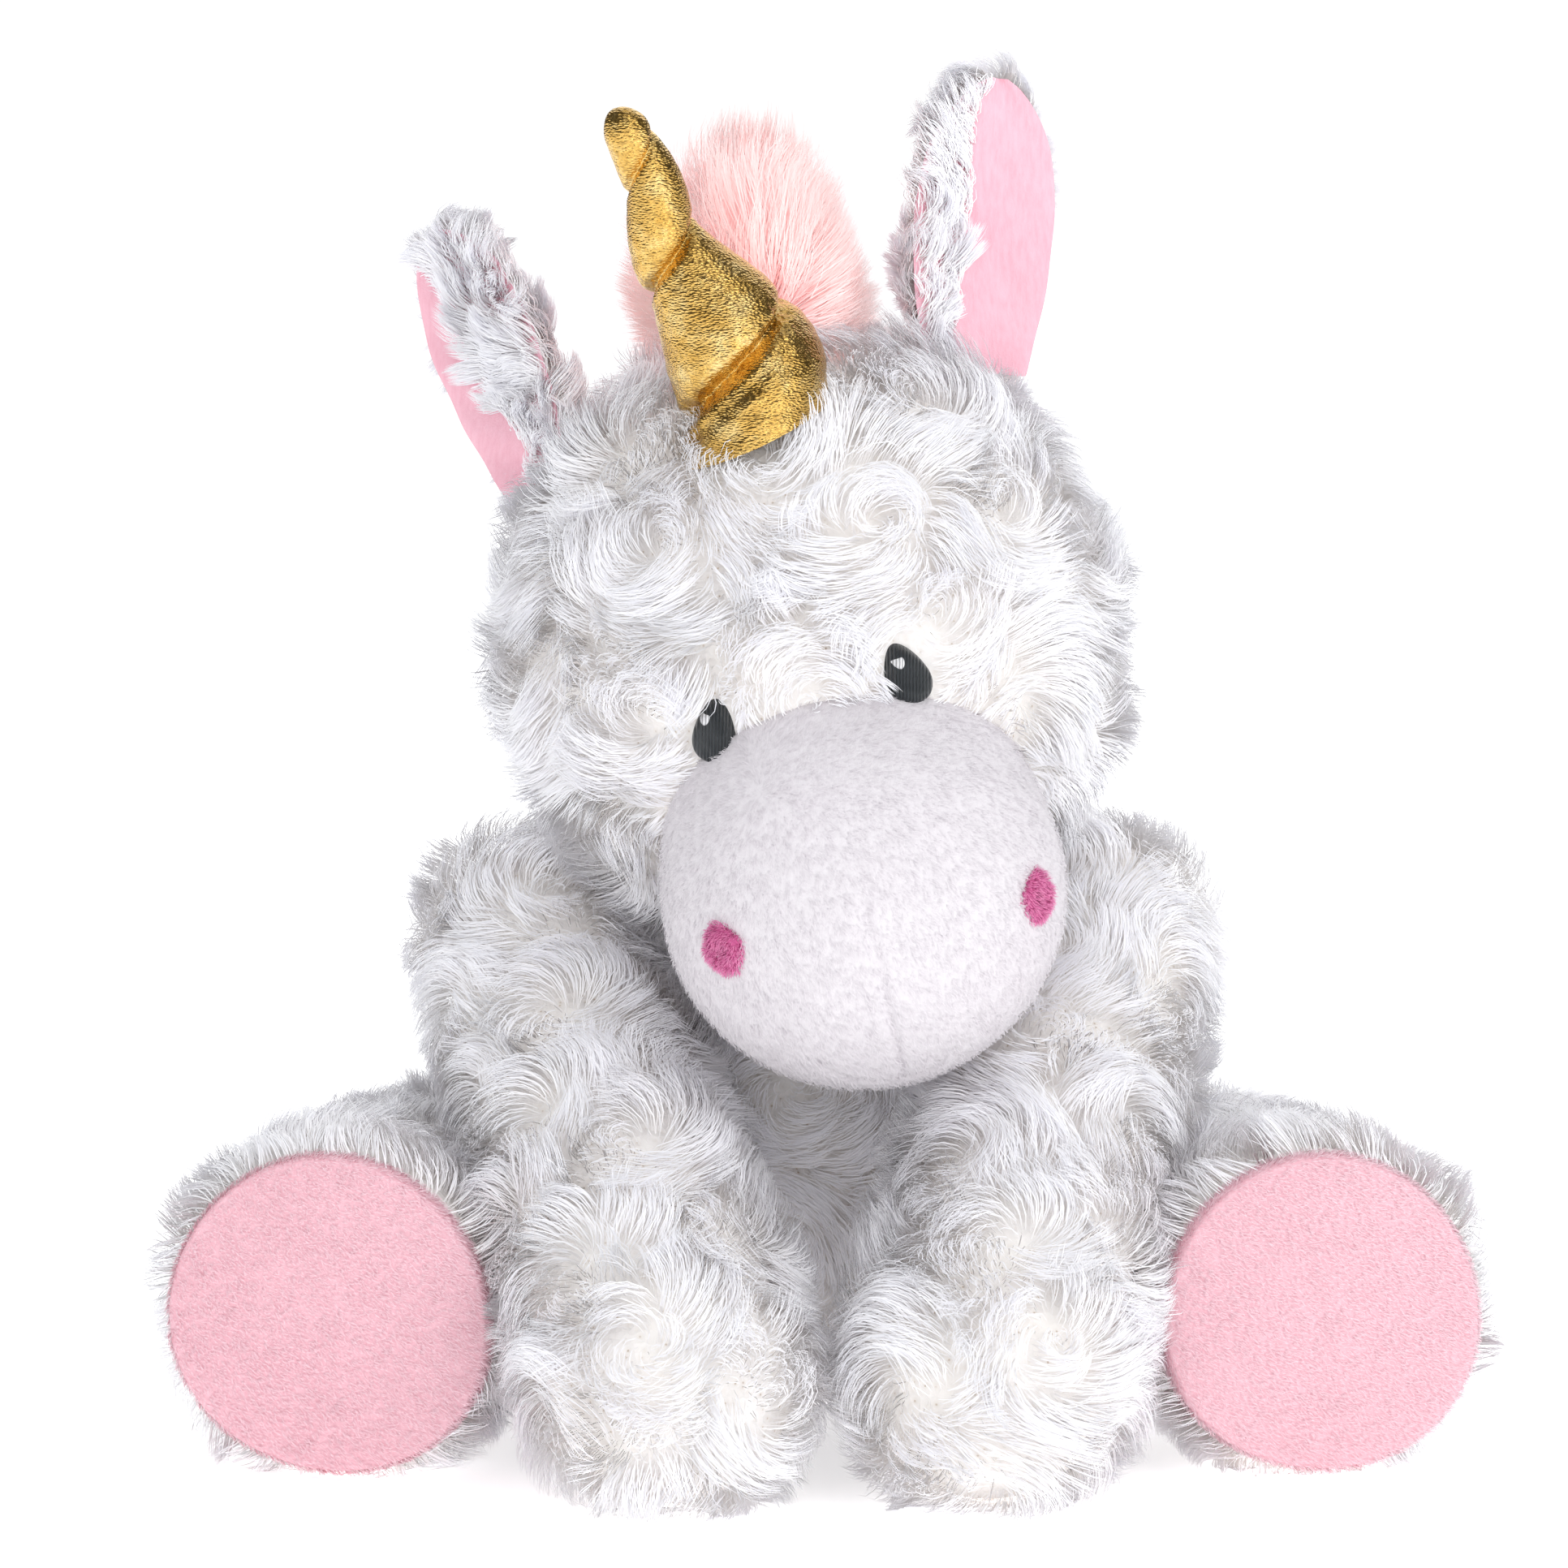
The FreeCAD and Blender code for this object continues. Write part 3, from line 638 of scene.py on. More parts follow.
def gather(path, own, strength):
    """Bends every tuft's strands towards the middle of the tuft."""
    count = np.bincount(own)
    for j in range(1, SEGMENTS + 1):
        middle = np.stack([np.bincount(own, path[:, j, k]) for k in range(3)], axis=1)
        middle /= np.maximum(count, 1)[:, None]
        path[:, j] += (middle[own] - path[:, j]) * (strength * (j / SEGMENTS) ** 1.5)


def ribbons(name, path, normals, width, kinds, materials, rng, rounding):
    """One mesh of flat tapering strands."""
    count = len(path)
    along = unit(np.gradient(path, axis=1))
    side = unit(np.cross(along, normals[:, None]))
    face = np.cross(side, along)
    twist = np.radians(rng.uniform(-40, 40, count))[:, None, None]
    side = turned(side, face, twist)
    taper = np.array([0.75, 1.0, 0.85, 0.55])[None, :, None]
    half = side[:, :SEGMENTS] * taper * (width[:, None, None] / 2)
    left, right = path[:, :SEGMENTS] - half, path[:, :SEGMENTS] + half
    rings = np.stack([left, right], axis=2).reshape(count, SEGMENTS * 2, 3)
    points = np.concatenate([rings, path[:, SEGMENTS:]], axis=1)
    per = SEGMENTS * 2 + 1
    quads = [[2 * j, 2 * j + 1, 2 * j + 3, 2 * j + 2] for j in range(SEGMENTS - 1)]
    pattern = np.array([i for q in quads for i in q] + [per - 3, per - 2, per - 1])
    sizes = np.array([4] * (SEGMENTS - 1) + [3])
    corners = (np.arange(count)[:, None] * per + pattern[None]).ravel()
    totals = np.tile(sizes, count)
    starts = np.concatenate([[0], np.cumsum(totals)[:-1]])
    mesh = bpy.data.meshes.new(name)
    mesh.vertices.add(count * per)
    mesh.vertices.foreach_set("co", points.astype(np.float32).ravel())
    mesh.loops.add(len(corners))
    mesh.loops.foreach_set("vertex_index", corners.astype(np.int32))
    tips = np.where(kinds, 3, 2)
    # The first segment of each strand takes the darker root colour, painted shade deep in the pile.
    shade = np.stack([np.zeros(count, int), np.ones(count, int), tips, tips], axis=1).ravel()
    mesh.polygons.add(len(totals))
    for key, values in (("loop_start", starts), ("loop_total", totals), ("material_index", shade)):
        mesh.polygons.foreach_set(key, values.astype(np.int32))
    mesh.polygons.foreach_set("use_smooth", np.ones(len(totals), bool))
    for material in materials:
        mesh.materials.append(material)
    mesh.update()
    outward = unit(face * 0.35 + normals[:, None] + rounding[:, None])
    edges = np.repeat(outward[:, :SEGMENTS], 2, axis=1)
    shading = np.concatenate([edges, outward[:, SEGMENTS:]], axis=1)
    stored = mesh.attributes.new("custom_normal", "FLOAT_VECTOR", "POINT")
    stored.data.foreach_set("vector", shading.astype(np.float32).ravel())
    return link(name, mesh)


def grow(name, body, path, normals, materials, rng, width=0.26 * MM, rounding=None):
    """Turns paths into pile pieces that ride on a body."""
    path[:, :, 2] = np.maximum(path[:, :, 2], PILE_GAP)
    order = rng.permutation(len(path))
    if rounding is None:
        rounding = np.zeros_like(normals)
    for number, start in enumerate(range(0, len(path), MOST_STRANDS), start=1):
        some = order[start : start + MOST_STRANDS]
        widths = width * rng.uniform(0.75, 1.25, len(some))
        kinds = rng.random(len(some)) < 0.4
        obj = ribbons(f"{name}_{number}", path[some], normals[some], widths, kinds, materials, rng,
                      rounding[some])
        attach(obj, body)


def curly_pile(name, body, skin, count, seed, length=17 * MM, spacing=27 * MM, where=None,
               style=None, clear=(), inside=()):
    """White rosette pile over a skin, in soft rounded tufts."""
    rng = np.random.default_rng(seed)
    roots, normals = scatter(skin, count, rng, where)
    lay = rosettes(roots, normals, spacing, rng)
    kept = rng.random(len(roots)) > 0.75 * bump(lay["from_middle"], 2.6 * MM)
    roots, normals = roots[kept], normals[kept]
    lay = {key: value[kept] for key, value in lay.items()}
    leaders, own = families(roots, TUFT, rng)
    some = len(leaders)
    turn = np.radians(rng.normal(0, 24, some))[own][:, None]
    lay["flow"] = turned(lay["flow"], np.cross(normals, lay["flow"]), turn)
    lay["stand"] = np.clip(lay["stand"] + rng.normal(0.05, 0.14, some)[own], 0, 1)
    reach = length * rng.uniform(0.8, 1.1, len(roots)) * rng.uniform(0.8, 1.15, some)[own]
    ridge = np.sin(np.pi * np.clip(lay["from_middle"] / (0.62 * spacing), 0, 1)) ** 2
    trim = np.ones(len(roots)) if style is None else style(roots, normals, lay)
    reach *= trim
    rounding = (roots - roots[leaders][own]) / TUFT
    rounding = (rounding - normals * dot(rounding, normals)) * 0.5
    lift = (rng.uniform(0, 1.6, some)[own] + 1.8 * ridge) * MM * trim
    path = strands(roots + normals * lift[:, None], normals, lay, reach, rng)
    gather(path, own, 0.34)
    locks(path, 3.0 * MM, 0.42, rng)
    for egg in clear:
        path[:, 1:] = egg.push(path[:, 1:])
    hidden = np.zeros(len(path), bool)
    for egg in inside:
        hidden |= (egg.share(path) < 1).any(axis=1)
    seen = ~hidden
    grow(name, body, path[seen], normals[seen], WHITE_FUR, rng, rounding=rounding[seen])


def nap(name, body, skin, count, seed, length, sweep, slot, materials, lean=(58, 76, 86)):
    """Short brushed pile."""
    rng = np.random.default_rng(seed)
    roots, normals = scatter(skin, count, rng)
    lay = {
        "flow": along_surface(np.broadcast_to(sweep, roots.shape), normals),
        "stand": np.zeros(count),
        "turning": rng.normal(0, 0.5, count),
    }
    reach = length * rng.uniform(0.6, 1.3, count)
    path = strands(roots, normals, lay, reach, rng, lean=lean, fall=0, wild=13)
    grow(name, body, path, normals, materials, rng, width=0.15 * MM)


# ---- head ------------------------------------------------

HEAD = turn_about("Y", HEAD_ROLL) @ turn_about("Z", HEAD_YAW) @ turn_about("X", HEAD_PITCH)
SKULL = pivot("head_nod")
MUZZLE = SKULL + HEAD @ np.array([0, -MUZZLE_REACH, -MUZZLE_DROP])
SKULL_EGG = Egg(SKULL, np.eye(3), [SKULL_RADIUS] * 3)
MUZZLE_EGG = Egg(MUZZLE, HEAD, MUZZLE_RADII)
HEAD_RIGHTWARDS, HEAD_BACKWARDS, HEAD_UP = HEAD[:, 0], HEAD[:, 1], HEAD[:, 2]


def muzzle():
    """The muzzle's panels swell between the seam down its middle and the one under the chin."""
    rings, spokes = 44, 96
    chin_at = 0.42  # radians from the tip of the muzzle to the seam under the chin
    theta = np.radians(np.linspace(0, 128, rings + 1)[1:])[:, None]
    phi = circle(spokes)[None, :]
    shape = [np.sin(theta) * np.cos(phi), -np.cos(theta) + 0 * phi, np.sin(theta) * np.sin(phi)]
    local = np.stack(shape, axis=-1).reshape(-1, 3)
    local = np.concatenate([[[0, -1, 0]], local]) * (MUZZLE_RADII - 1.0 * MM)
    obj = mesh_object("muzzle", local @ HEAD.T + MUZZLE, disc_faces(rings, spokes))

    def seams(points):
        p = (points - MUZZLE) @ HEAD
        tilt = np.arccos(np.clip(-p[:, 1] / span(p), -1, 1))
        reach = np.where(p[:, 2] < 0, chin_at, 0.8)
        turned = np.abs(np.arctan2(p[:, 0], -p[:, 2]))
        middle = np.where(tilt < reach, np.abs(p[:, 0]), 1.0)
        chin = np.where(turned < 1.3, np.abs(tilt - chin_at) * 45 * MM, 1.0)
        return np.minimum(middle, chin)

    held = np.flatnonzero(seams(points_of(obj.data)) < 0.9 * MM)
    rim = np.arange(len(local) - spokes, len(local))
    puff(obj, 1.6 * MM, 3.0, np.concatenate([held, rim]))
    subdivide(obj)
    points, normals = points_of(obj.data), normals_of(obj.data)
    near = seams(points)
    sewn = -0.55 * MM * bump(near, 0.8 * MM) + 0.2 * MM * bump(near - 3 * MM, 2 * MM)
    points += normals * sewn[:, None]
    rise = span(points - SKULL) - SKULL_RADIUS
    flare = np.clip(1 - rise / (22 * MM), 0, 1) ** 2
    points += unit((points - MUZZLE) @ HEAD * [1, 0, 1] @ HEAD.T) * (4 * MM * flare)[:, None]
    move_points(obj.data, points)
    nap("muzzle_pile", "head", obj, 26000, 12, 2.3 * MM, HEAD_RIGHTWARDS * 0.4 - HEAD_UP, "white_plush",
        MUZZLE_NAP)
    return declare(obj, "head", ["muzzle_plush"], MUZZLE_PLUSH)


def patch(name, host, middle, facing, up, outline, lift, rings=12, spokes=48):
    """A patch sewn on a host surface. Outline gives its edge, and lift its height over the host."""
    facing = unit(facing)
    up = unit(up - facing * np.dot(up, facing))
    right = np.cross(up, facing)
    reach, angle = disc_grid(rings, spokes)
    wide, high = outline(angle)
    above = 25  # mm over the middle, where the rays down to the host start
    points = []
    for share, w, h, raised in zip(reach, wide, high, lift(reach, angle)):
        over = middle + right * (w * share) + up * (h * share) + facing * above * MM
        hit = host.ray_cast(Vector(over), Vector(-facing))[0]
        base = np.array(hit) if hit is not None else over - facing * above * MM
        points.append(base + facing * raised)
    return mesh_object(name, points, disc_faces(rings, spokes))


def node_middle(node):
    low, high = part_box(node)
    return np.array((low + high) / 2)


def eye(side, host):
    """A tall oval of satin stitch whose foot goes under the muzzle's seam."""
    middle = node_middle(f"eye_{side}")
    facing = middle - SKULL

    def oval(angle):
        narrow = 1 - 0.3 * np.sin(angle)
        cut = np.where(np.sin(angle) < 0, 0.86, 1.0)
        return 5.3 * MM * np.cos(angle) * narrow, 8.0 * MM * cut * np.sin(angle)

    def rise(reach, angle):
        return 4.2 * MM * (1 - reach**8) - 0.5 * MM + 0.6 * MM * (1 - reach**2)

    obj = patch(f"eye_patch_{side}", host, middle, facing, HEAD_UP, oval, rise)
    declare(obj, "head", [f"eye_{side}"], BLACK_SATIN)

    def spot(angle):
        return 1.3 * MM * np.cos(angle), 1.2 * MM * np.sin(angle) + 0.3 * MM * np.cos(2 * angle)

    def spot_rise(reach, angle):
        return 0.45 * MM * (1 - reach**4) + 0.02 * MM

    right = unit(np.cross(HEAD_UP, facing))
    up = unit(np.cross(facing, right))
    at = middle - right * 1.3 * MM + up * 4.4 * MM
    glint = patch(f"eye_highlight_{side}", tree_of(obj), at, facing, HEAD_UP, spot, spot_rise, 6, 24)
    declare(glint, "head", [f"eye_glint_{side}"], WHITE_SATIN)


def nostril(side, host):
    """A rounded square of magenta pile with a dimple in its middle, painted darker as the shade in it.
    """
    middle = node_middle(f"nostril_{side}")
    facing = MUZZLE_EGG.scaled(middle) / MUZZLE_RADII @ HEAD.T

    def rounded(angle):
        squared = 1 / (np.abs(np.cos(angle)) ** 3 + np.abs(np.sin(angle)) ** 3) ** (1 / 3)
        squared = squared * (1 + 0.04 * np.sin(9 * angle) + 0.03 * np.sin(23 * angle + 1))
        return 5.2 * MM * squared * np.cos(angle), 5.2 * MM * squared * np.sin(angle)

    def rise(reach, angle):
        ragged = 0.12 * MM * np.sin(7 * angle) * reach
        return 1.5 * MM * (1 - reach**8) - 0.3 * MM - 1.0 * MM * bump(reach, 0.3) + ragged

    obj = patch(f"nostril_patch_{side}", host, middle, facing, HEAD_UP, rounded, rise)
    declare(obj, "head", [f"nostril_{side}"], NOSTRIL_PLUSH)
    obj.data.materials.append(SHADED_DIMPLE_PLUSH)
    # Faces within 1.9 mm of the middle take the darker pile: painted shade in the dimple.
    for face in obj.data.polygons:
        face.material_index = int(np.linalg.norm(np.array(face.center) - middle) < 1.9 * MM)
    nap(f"nostril_pile_{side}", "head", obj, 1500, 13, 1.7 * MM, HEAD_UP * -1.0, "magenta_plush",
        MAGENTA_NAP, lean=(10, 35, 60))


def head():
    skin = stuffed("head_skin", "head_stuffing", cap=2 * MM, pressure=2.0)
    declare(skin, "head", ["head_fur_fabric", "head_stuffing"], KNIT)
    points = points_of(skin.data)
    inside = MUZZLE_EGG.share(points) < 1.06
    front = span(points - SKULL) > SKULL_RADIUS + 1 * MM
    points = np.where((inside & front)[:, None], MUZZLE + (points - MUZZLE) * 0.93, points)
    move_points(skin.data, points)
    snout = muzzle()
    host = tree_of(snout)
    skull = tree_of(skin)
    for side in ("right", "left"):
        eye(side, skull)
        nostril(side, host)
    eyes = [node_middle(f"eye_{side}") for side in ("right", "left")]
    horn_root = pivot("horn_sway")

    def on_skull(points):
        kept = MUZZLE_EGG.share(points) > 1.01
        for middle in eyes:
            away = points - middle
            sideways = np.abs(away @ HEAD_RIGHTWARDS) / (5.0 * MM)
            upwards = np.abs(away @ HEAD_UP) / (7.3 * MM)
            kept &= np.hypot(sideways, upwards) > 1
        return kept & (span(points - horn_root) > 13 * MM)

    def style(points, normals, lay):
        """Pile is cropped short along the muzzle's seam and round the eyes."""
        seam = (MUZZLE_EGG.share(points) - 1.03) * 45 * MM
        near_seam = bump(np.maximum(seam, 0), 7 * MM)[:, None]
        away = along_surface(unit(points - MUZZLE), normals)
        lay["flow"] = unit(lay["flow"] + away * near_seam * 0.35)
        trim = 1 - 0.6 * near_seam[:, 0]
        for middle in eyes:
            out = points - middle
            near = bump(span(out), 8 * MM)[:, None]
            lay["flow"] = unit(lay["flow"] + along_surface(out, normals) * near * 1.8)
            trim *= 1 - 0.68 * near[:, 0]
        return trim

    curly_pile("head_pile", "head", skin, 78000, 11, where=on_skull, style=style,
               clear=[Egg(MUZZLE, HEAD, MUZZLE_RADII + 0.8 * MM)])


# ---- horn ------------------------------------------------


def horn():
    """Stuffed foil cloth, wound with thread that gathers it into pleats."""
    points = cad_points("horn_gold_fabric", "horn_stuffing")
    root = pivot("horn_sway")
    axis = main_axes(points)[1]
    axis = axis * np.sign(np.dot(axis, points.mean(0) - root))
    along = (points - root) @ axis
    bottom, top = along.min() + 4 * MM, along.max()
    right = unit(np.cross(np.array([0, 1.0, 0]), axis))
    back = np.cross(axis, right)
    rows, columns = 260, 160
    rise = np.linspace(0, 1, rows)
    windings, lag, start = 3.07, 1.3, 0.31

    def wound(t):
        return start + windings * t**lag

    def girth(t):
        heights = [0, 0.12, 0.26, 0.42, 0.6, 0.8, 1]
        wide = np.interp(t, heights, [17.6, 18.6, 17.0, 12.8, 8.8, 6.6, 4.8]) * MM
        return wide * np.sqrt(1 - np.clip(1 - (1 - t) / 0.08, 0, 1) ** 2)

    def surface(t, phi):
        phase = wound(t) - phi / (2 * np.pi)
        place = phase - np.floor(phase)
        edge = np.minimum(place, 1 - place)
        swollen = 0.80 + 0.24 * np.sin(np.pi * place**0.8) ** 0.7
        groove = 0.11 * bump(edge, 0.055)
        low = np.clip(1 - t / 0.62, 0, 1)
        fan = np.sin(phi * 17 + 3.0 * np.sin(place * 5 + phi * 2)) + 0.6 * np.sin(phi * 31 + place * 9)
        gathers = 0.018 * np.exp(-edge / 0.12) * fan * (0.35 + low)
        pleats = 0.035 * np.sin(place * 44) * bump(1 - place, 0.3) * low * (0.5 - 0.5 * np.cos(phi))
        creases = 0.007 * np.sin(phi * 7 + t * 60) * np.sin(t * 43 + phi * 3)
        return girth(t) * (swollen - groove + gathers + pleats + creases)

    t, phi = np.meshgrid(rise, circle(columns), indexing="ij")
    bend = 3.0 * MM * np.sin(rise * np.pi * 1.4)
    wander = 3.0 * MM * np.sin(10 * (0.43 - rise)) * np.sqrt(1 - rise)

    def spine(t):
        return (root + axis * (bottom + (top - bottom) * t)[..., None]
                + right * np.interp(t, rise, wander)[..., None]
                + back * np.interp(t, rise, bend)[..., None])

    def on_horn(t, angle, reach):
        return (spine(t) + right * (reach * np.cos(angle))[..., None]
                + back * (reach * np.sin(angle))[..., None])

    grid = on_horn(t, phi, surface(t, phi))
    obj = mesh_object("horn_cloth", grid.reshape(-1, 3), tube_faces(rows, columns))
    declare(obj, "horn", ["horn_gold_fabric", "horn_stuffing"], GOLD)

    turns = np.linspace(0.5, start + windings * 0.93, 220)
    height = ((turns - start) / windings) ** (1 / lag)
    angle = turns * 2 * np.pi
    reach = surface(height, angle) - 0.1 * MM
    thread = tube("horn_thread", on_horn(height, angle, reach), 0.16 * MM)
    declare(thread, "horn", ["horn_winding_thread"], GOLD_THREAD)


def tube(name, path, radius):
    """A round thread along a path."""
    spokes = 8
    along = unit(np.gradient(path, axis=0))
    first = unit(np.cross(along, np.array([0.3, 0.2, 0.93])))
    second = np.cross(along, first)
    angle = circle(spokes)[None, :, None]
    ring = turned(first[:, None], second[:, None], angle)
    points = (path[:, None] + ring * radius).reshape(-1, 3)
    return mesh_object(name, points, tube_faces(len(path), spokes))


# ---- ears ------------------------------------------------


def ear(side, furred_from, furred_to, seed):
    """A cupped leaf with a pink lining. White pile covers its back, its edge and part of its front."""
    back_node, front_node = f"ear_{side}_fur_back", f"ear_{side}_lining"
    points = cad_points(back_node, front_node)
    _, long, wide, _ = main_axes(points)
    root = pivot(f"ear_{side}_fold")
    long = long * np.sign(np.dot(long, points.mean(0) - root))
    wide = wide * np.sign(wide[0])
    front = unit(np.cross(wide, long))
    ahead = cad_points(front_node).mean(0) - cad_points(back_node).mean(0)
    front = front * np.sign(np.dot(front, ahead))
    along = (points - root) @ long
    bottom, top = along.min(), along.max() - 5 * MM
    half = np.ptp((points - root) @ wide) / 2

    def leaf(s, u, forward):
        """A point of the leaf: s along it, u across it, and how far in front of its middle."""
        rounded = np.sqrt(np.clip(1 - ((s - 0.68) / 0.32) ** 2, 0, 1)) * (s > 0.68) + (s <= 0.68)
        spread = half * (0.66 + 0.34 * np.sin(np.pi * np.clip(s * 0.95 + 0.02, 0, 1))) * rounded
        cup = (3.2 * MM + 4.0 * MM * (1 - s) ** 2) * (u**2 - 0.45)
        curl = 2.0 * MM * np.sin(s * 2.6)
        reach = bottom + (top - bottom) * s
        return (root + long * reach[..., None] + wide * (spread * u)[..., None]
                + front * (forward + cup - curl)[..., None])

    rows, columns = 44, 22
    s, u = np.meshgrid(np.linspace(0, 0.995, rows), np.linspace(-1, 1, columns), indexing="ij")
    edge = np.sqrt(np.clip(1 - u**2, 0, 1)) * np.sqrt(np.clip((1 - s) / 0.1, 0, 1))
    front_side = leaf(s, u, 0.9 * MM * edge)
    back_side = leaf(s, u, -3.2 * MM * edge)
    faces = []
    size = rows * columns
    for a, b, c, d in sheet_faces(rows, columns):
        faces += [[a, b, c, d], [size + a, size + d, size + c, size + b]]
    both = np.concatenate([front_side, back_side]).reshape(-1, 3)
    body = mesh_object(f"ear_back_{side}", both, faces)
    weld = body.modifiers.new("weld", "WELD")
    weld.merge_threshold = 0.05 * MM
    apply_modifiers(body)
    subdivide(body)
    declare(body, f"ear_{side}", [back_node], KNIT)

    rows, columns = 60, 36
    s, u = np.meshgrid(np.linspace(0.03, 0.995, rows), np.linspace(-1.03, 1.03, columns), indexing="ij")
    soft = 0.5 * MM * np.sin(s * 9 + u * 2) * (1 - u**2) + 0.25 * MM * np.sin(s * 23 + u * 7)
    sheet = leaf(s, u, 1.9 * MM * np.sqrt(np.clip(1 - u**4, 0, 1)) + 0.2 * MM + soft)
    lining = mesh_object(f"ear_lining_{side}", sheet.reshape(-1, 3), sheet_faces(rows, columns))
    subdivide(lining)
    declare(lining, f"ear_{side}", [front_node], EAR_PLUSH)

    rng = np.random.default_rng(seed)
    roots, normals = scatter(body, 20000, rng)
    ahead = dot(normals, front)[:, 0] > 0.3
    across = ((roots - root) @ wide) / half
    height = ((roots - root) @ long - bottom) / (top - bottom)
    bare = np.sign(furred_from + furred_to)
    rim = (-bare * across > 0.55) & (dot(normals, front)[:, 0] > -0.6)
    kept = (~ahead | ((across > furred_from) & (across < furred_to))) & (height > 0.03) & ~rim
    roots, normals, across = roots[kept], normals[kept], across[kept]
    lay = rosettes(roots, normals, 22 * MM, rng)
    upward = long + wide * (np.sign(across) * 0.6)[:, None]
    lay["flow"] = unit(lay["flow"] + along_surface(upward, normals) * 1.1)
    length = 12 * MM * rng.uniform(0.7, 1.15, len(roots)) * np.where(-bare * across > 0.3, 0.6, 1.0)
    path = strands(roots, normals, lay, length, rng, lean=(25, 60, 80), curl=35)
    locks(path, 7 * MM, 0.35, rng)
    locks(path, 3 * MM, 0.5, rng)
    grow(f"ear_pile_{side}", f"ear_{side}", path, normals, WHITE_FUR, rng)


# ---- mane crest and tail ---------------------------------


def long_pile(name, body, skin, count, seed, length, sweep, where=None):
    """Straight pink pile that sweeps one way and ends in loose locks."""
    rng = np.random.default_rng(seed)
    roots, normals = scatter(skin, count, rng, where)
    lay = rosettes(roots, normals, 26 * MM, rng)
    way = along_surface(np.broadcast_to(sweep, roots.shape), normals)
    lay["flow"] = unit(way * 1.4 + lay["flow"] * 0.8)
    facing = 0.78 + 0.22 * dot(normals, unit(sweep))[:, 0]
    reach = length * rng.uniform(0.65, 1.1, len(roots)) * facing
    path = strands(roots, normals, lay, reach, rng, lean=(10, 30, 50), curl=30, fall=0.05, wild=19)
    locks(path, 9 * MM, 0.28, rng)
    locks(path, 3.5 * MM, 0.42, rng)
    grow(name, body, path, normals, PINK_FUR, rng)


def mane():
    skin = stuffed("mane_crest", "mane_crest_stuffing", voxel=4 * MM, cap=2 * MM)
    declare(skin, "head", ["mane_crest_fabric", "mane_crest_stuffing"], KNIT)
    sweep = HEAD_UP + HEAD_BACKWARDS * 0.5 - HEAD_RIGHTWARDS * 0.25

    def outside(points):
        return SKULL_EGG.share(points) > 1.0

    long_pile("mane_pile", "head", skin, 24000, 31, 34 * MM, sweep, outside)


def tail():
    skin = stuffed("tail_form", "tail_stuffing", voxel=4 * MM, cap=2 * MM)
    declare(skin, "tail", ["tail_fur_fabric", "tail_stuffing"], KNIT)
    points = cad_points("tail_stuffing")
    sweep = unit(points.mean(0) - pivot("tail_swing"))
    long_pile("tail_pile", "tail", skin, 11000, 32, 19 * MM, sweep)


# ---- torso and neck --------------------------------------


def neck():
    """A soft ring of fabric round the underside of the head."""
    axis = -np.array(JOINTS["head_turn"]["axis"])
    first = unit(np.cross(axis, UP))
    second = np.cross(axis, first)
    around, section = 96, 14
    alpha, beta = np.meshgrid(circle(around), circle(section), indexing="ij")
    psi = np.radians(31.5) + np.radians(5.4) * np.cos(beta)
    gathers = 0.25 * MM * np.sin(24 * alpha)
    radius = SKULL_RADIUS + 1.3 * MM + 0.9 * MM * np.sin(beta) + gathers
    aim = turned(axis, turned(first, second, alpha[..., None]), psi[..., None])
    grid = SKULL + radius[..., None] * aim
    faces = []
    for i in range(around):
        a, b = i * section, ((i + 1) % around) * section
        faces += [[a + j, b + j, b + (j + 1) % section, a + (j + 1) % section] for j in range(section)]
    skin = subdivide(mesh_object("neck_collar", grid.reshape(-1, 3), faces))
    declare(skin, "neck", ["neck_collar_fabric"], KNIT)
    curly_pile("neck_pile", "neck", skin, 5000, 21, length=11 * MM, inside=[SKULL_EGG, MUZZLE_EGG])


def torso():
    skin = stuffed("torso_skin", "torso_stuffing", voxel=6 * MM, swell=1.6 * MM, cap=5 * MM, relax=2)
    on_or_above(skin, SKIN_GAP)
    nodes = ["torso_fur_fabric", "torso_stuffing", "seat_pellet_bag", "seat_pellets"]
    declare(skin, "torso", nodes, KNIT)

    def off_floor(points):
        return points[:, 2] > 2 * MM

    room = Egg(SKULL, np.eye(3), [SKULL_RADIUS + 1 * MM] * 3)
    curly_pile("torso_pile", "torso", skin, 78000, 22, where=off_floor, inside=[room, MUZZLE_EGG])


# ---- legs ------------------------------------------------


def leg_skin(name, voxel, cap):
    skin = stuffed(name + "_skin", name + "_stuffing", cap, voxel)
    on_or_above(skin, SKIN_GAP)
    return declare(skin, name, [name + "_fur_fabric", name + "_stuffing"], KNIT)


def front_leg(side, seed):
    name = f"front_leg_{side}"
    skin = leg_skin(name, 4.5 * MM, 2.5 * MM)
    curly_pile(name + "_pile", name, skin, 33000, seed, length=15.5 * MM, spacing=25 * MM,
               inside=[MUZZLE_EGG])


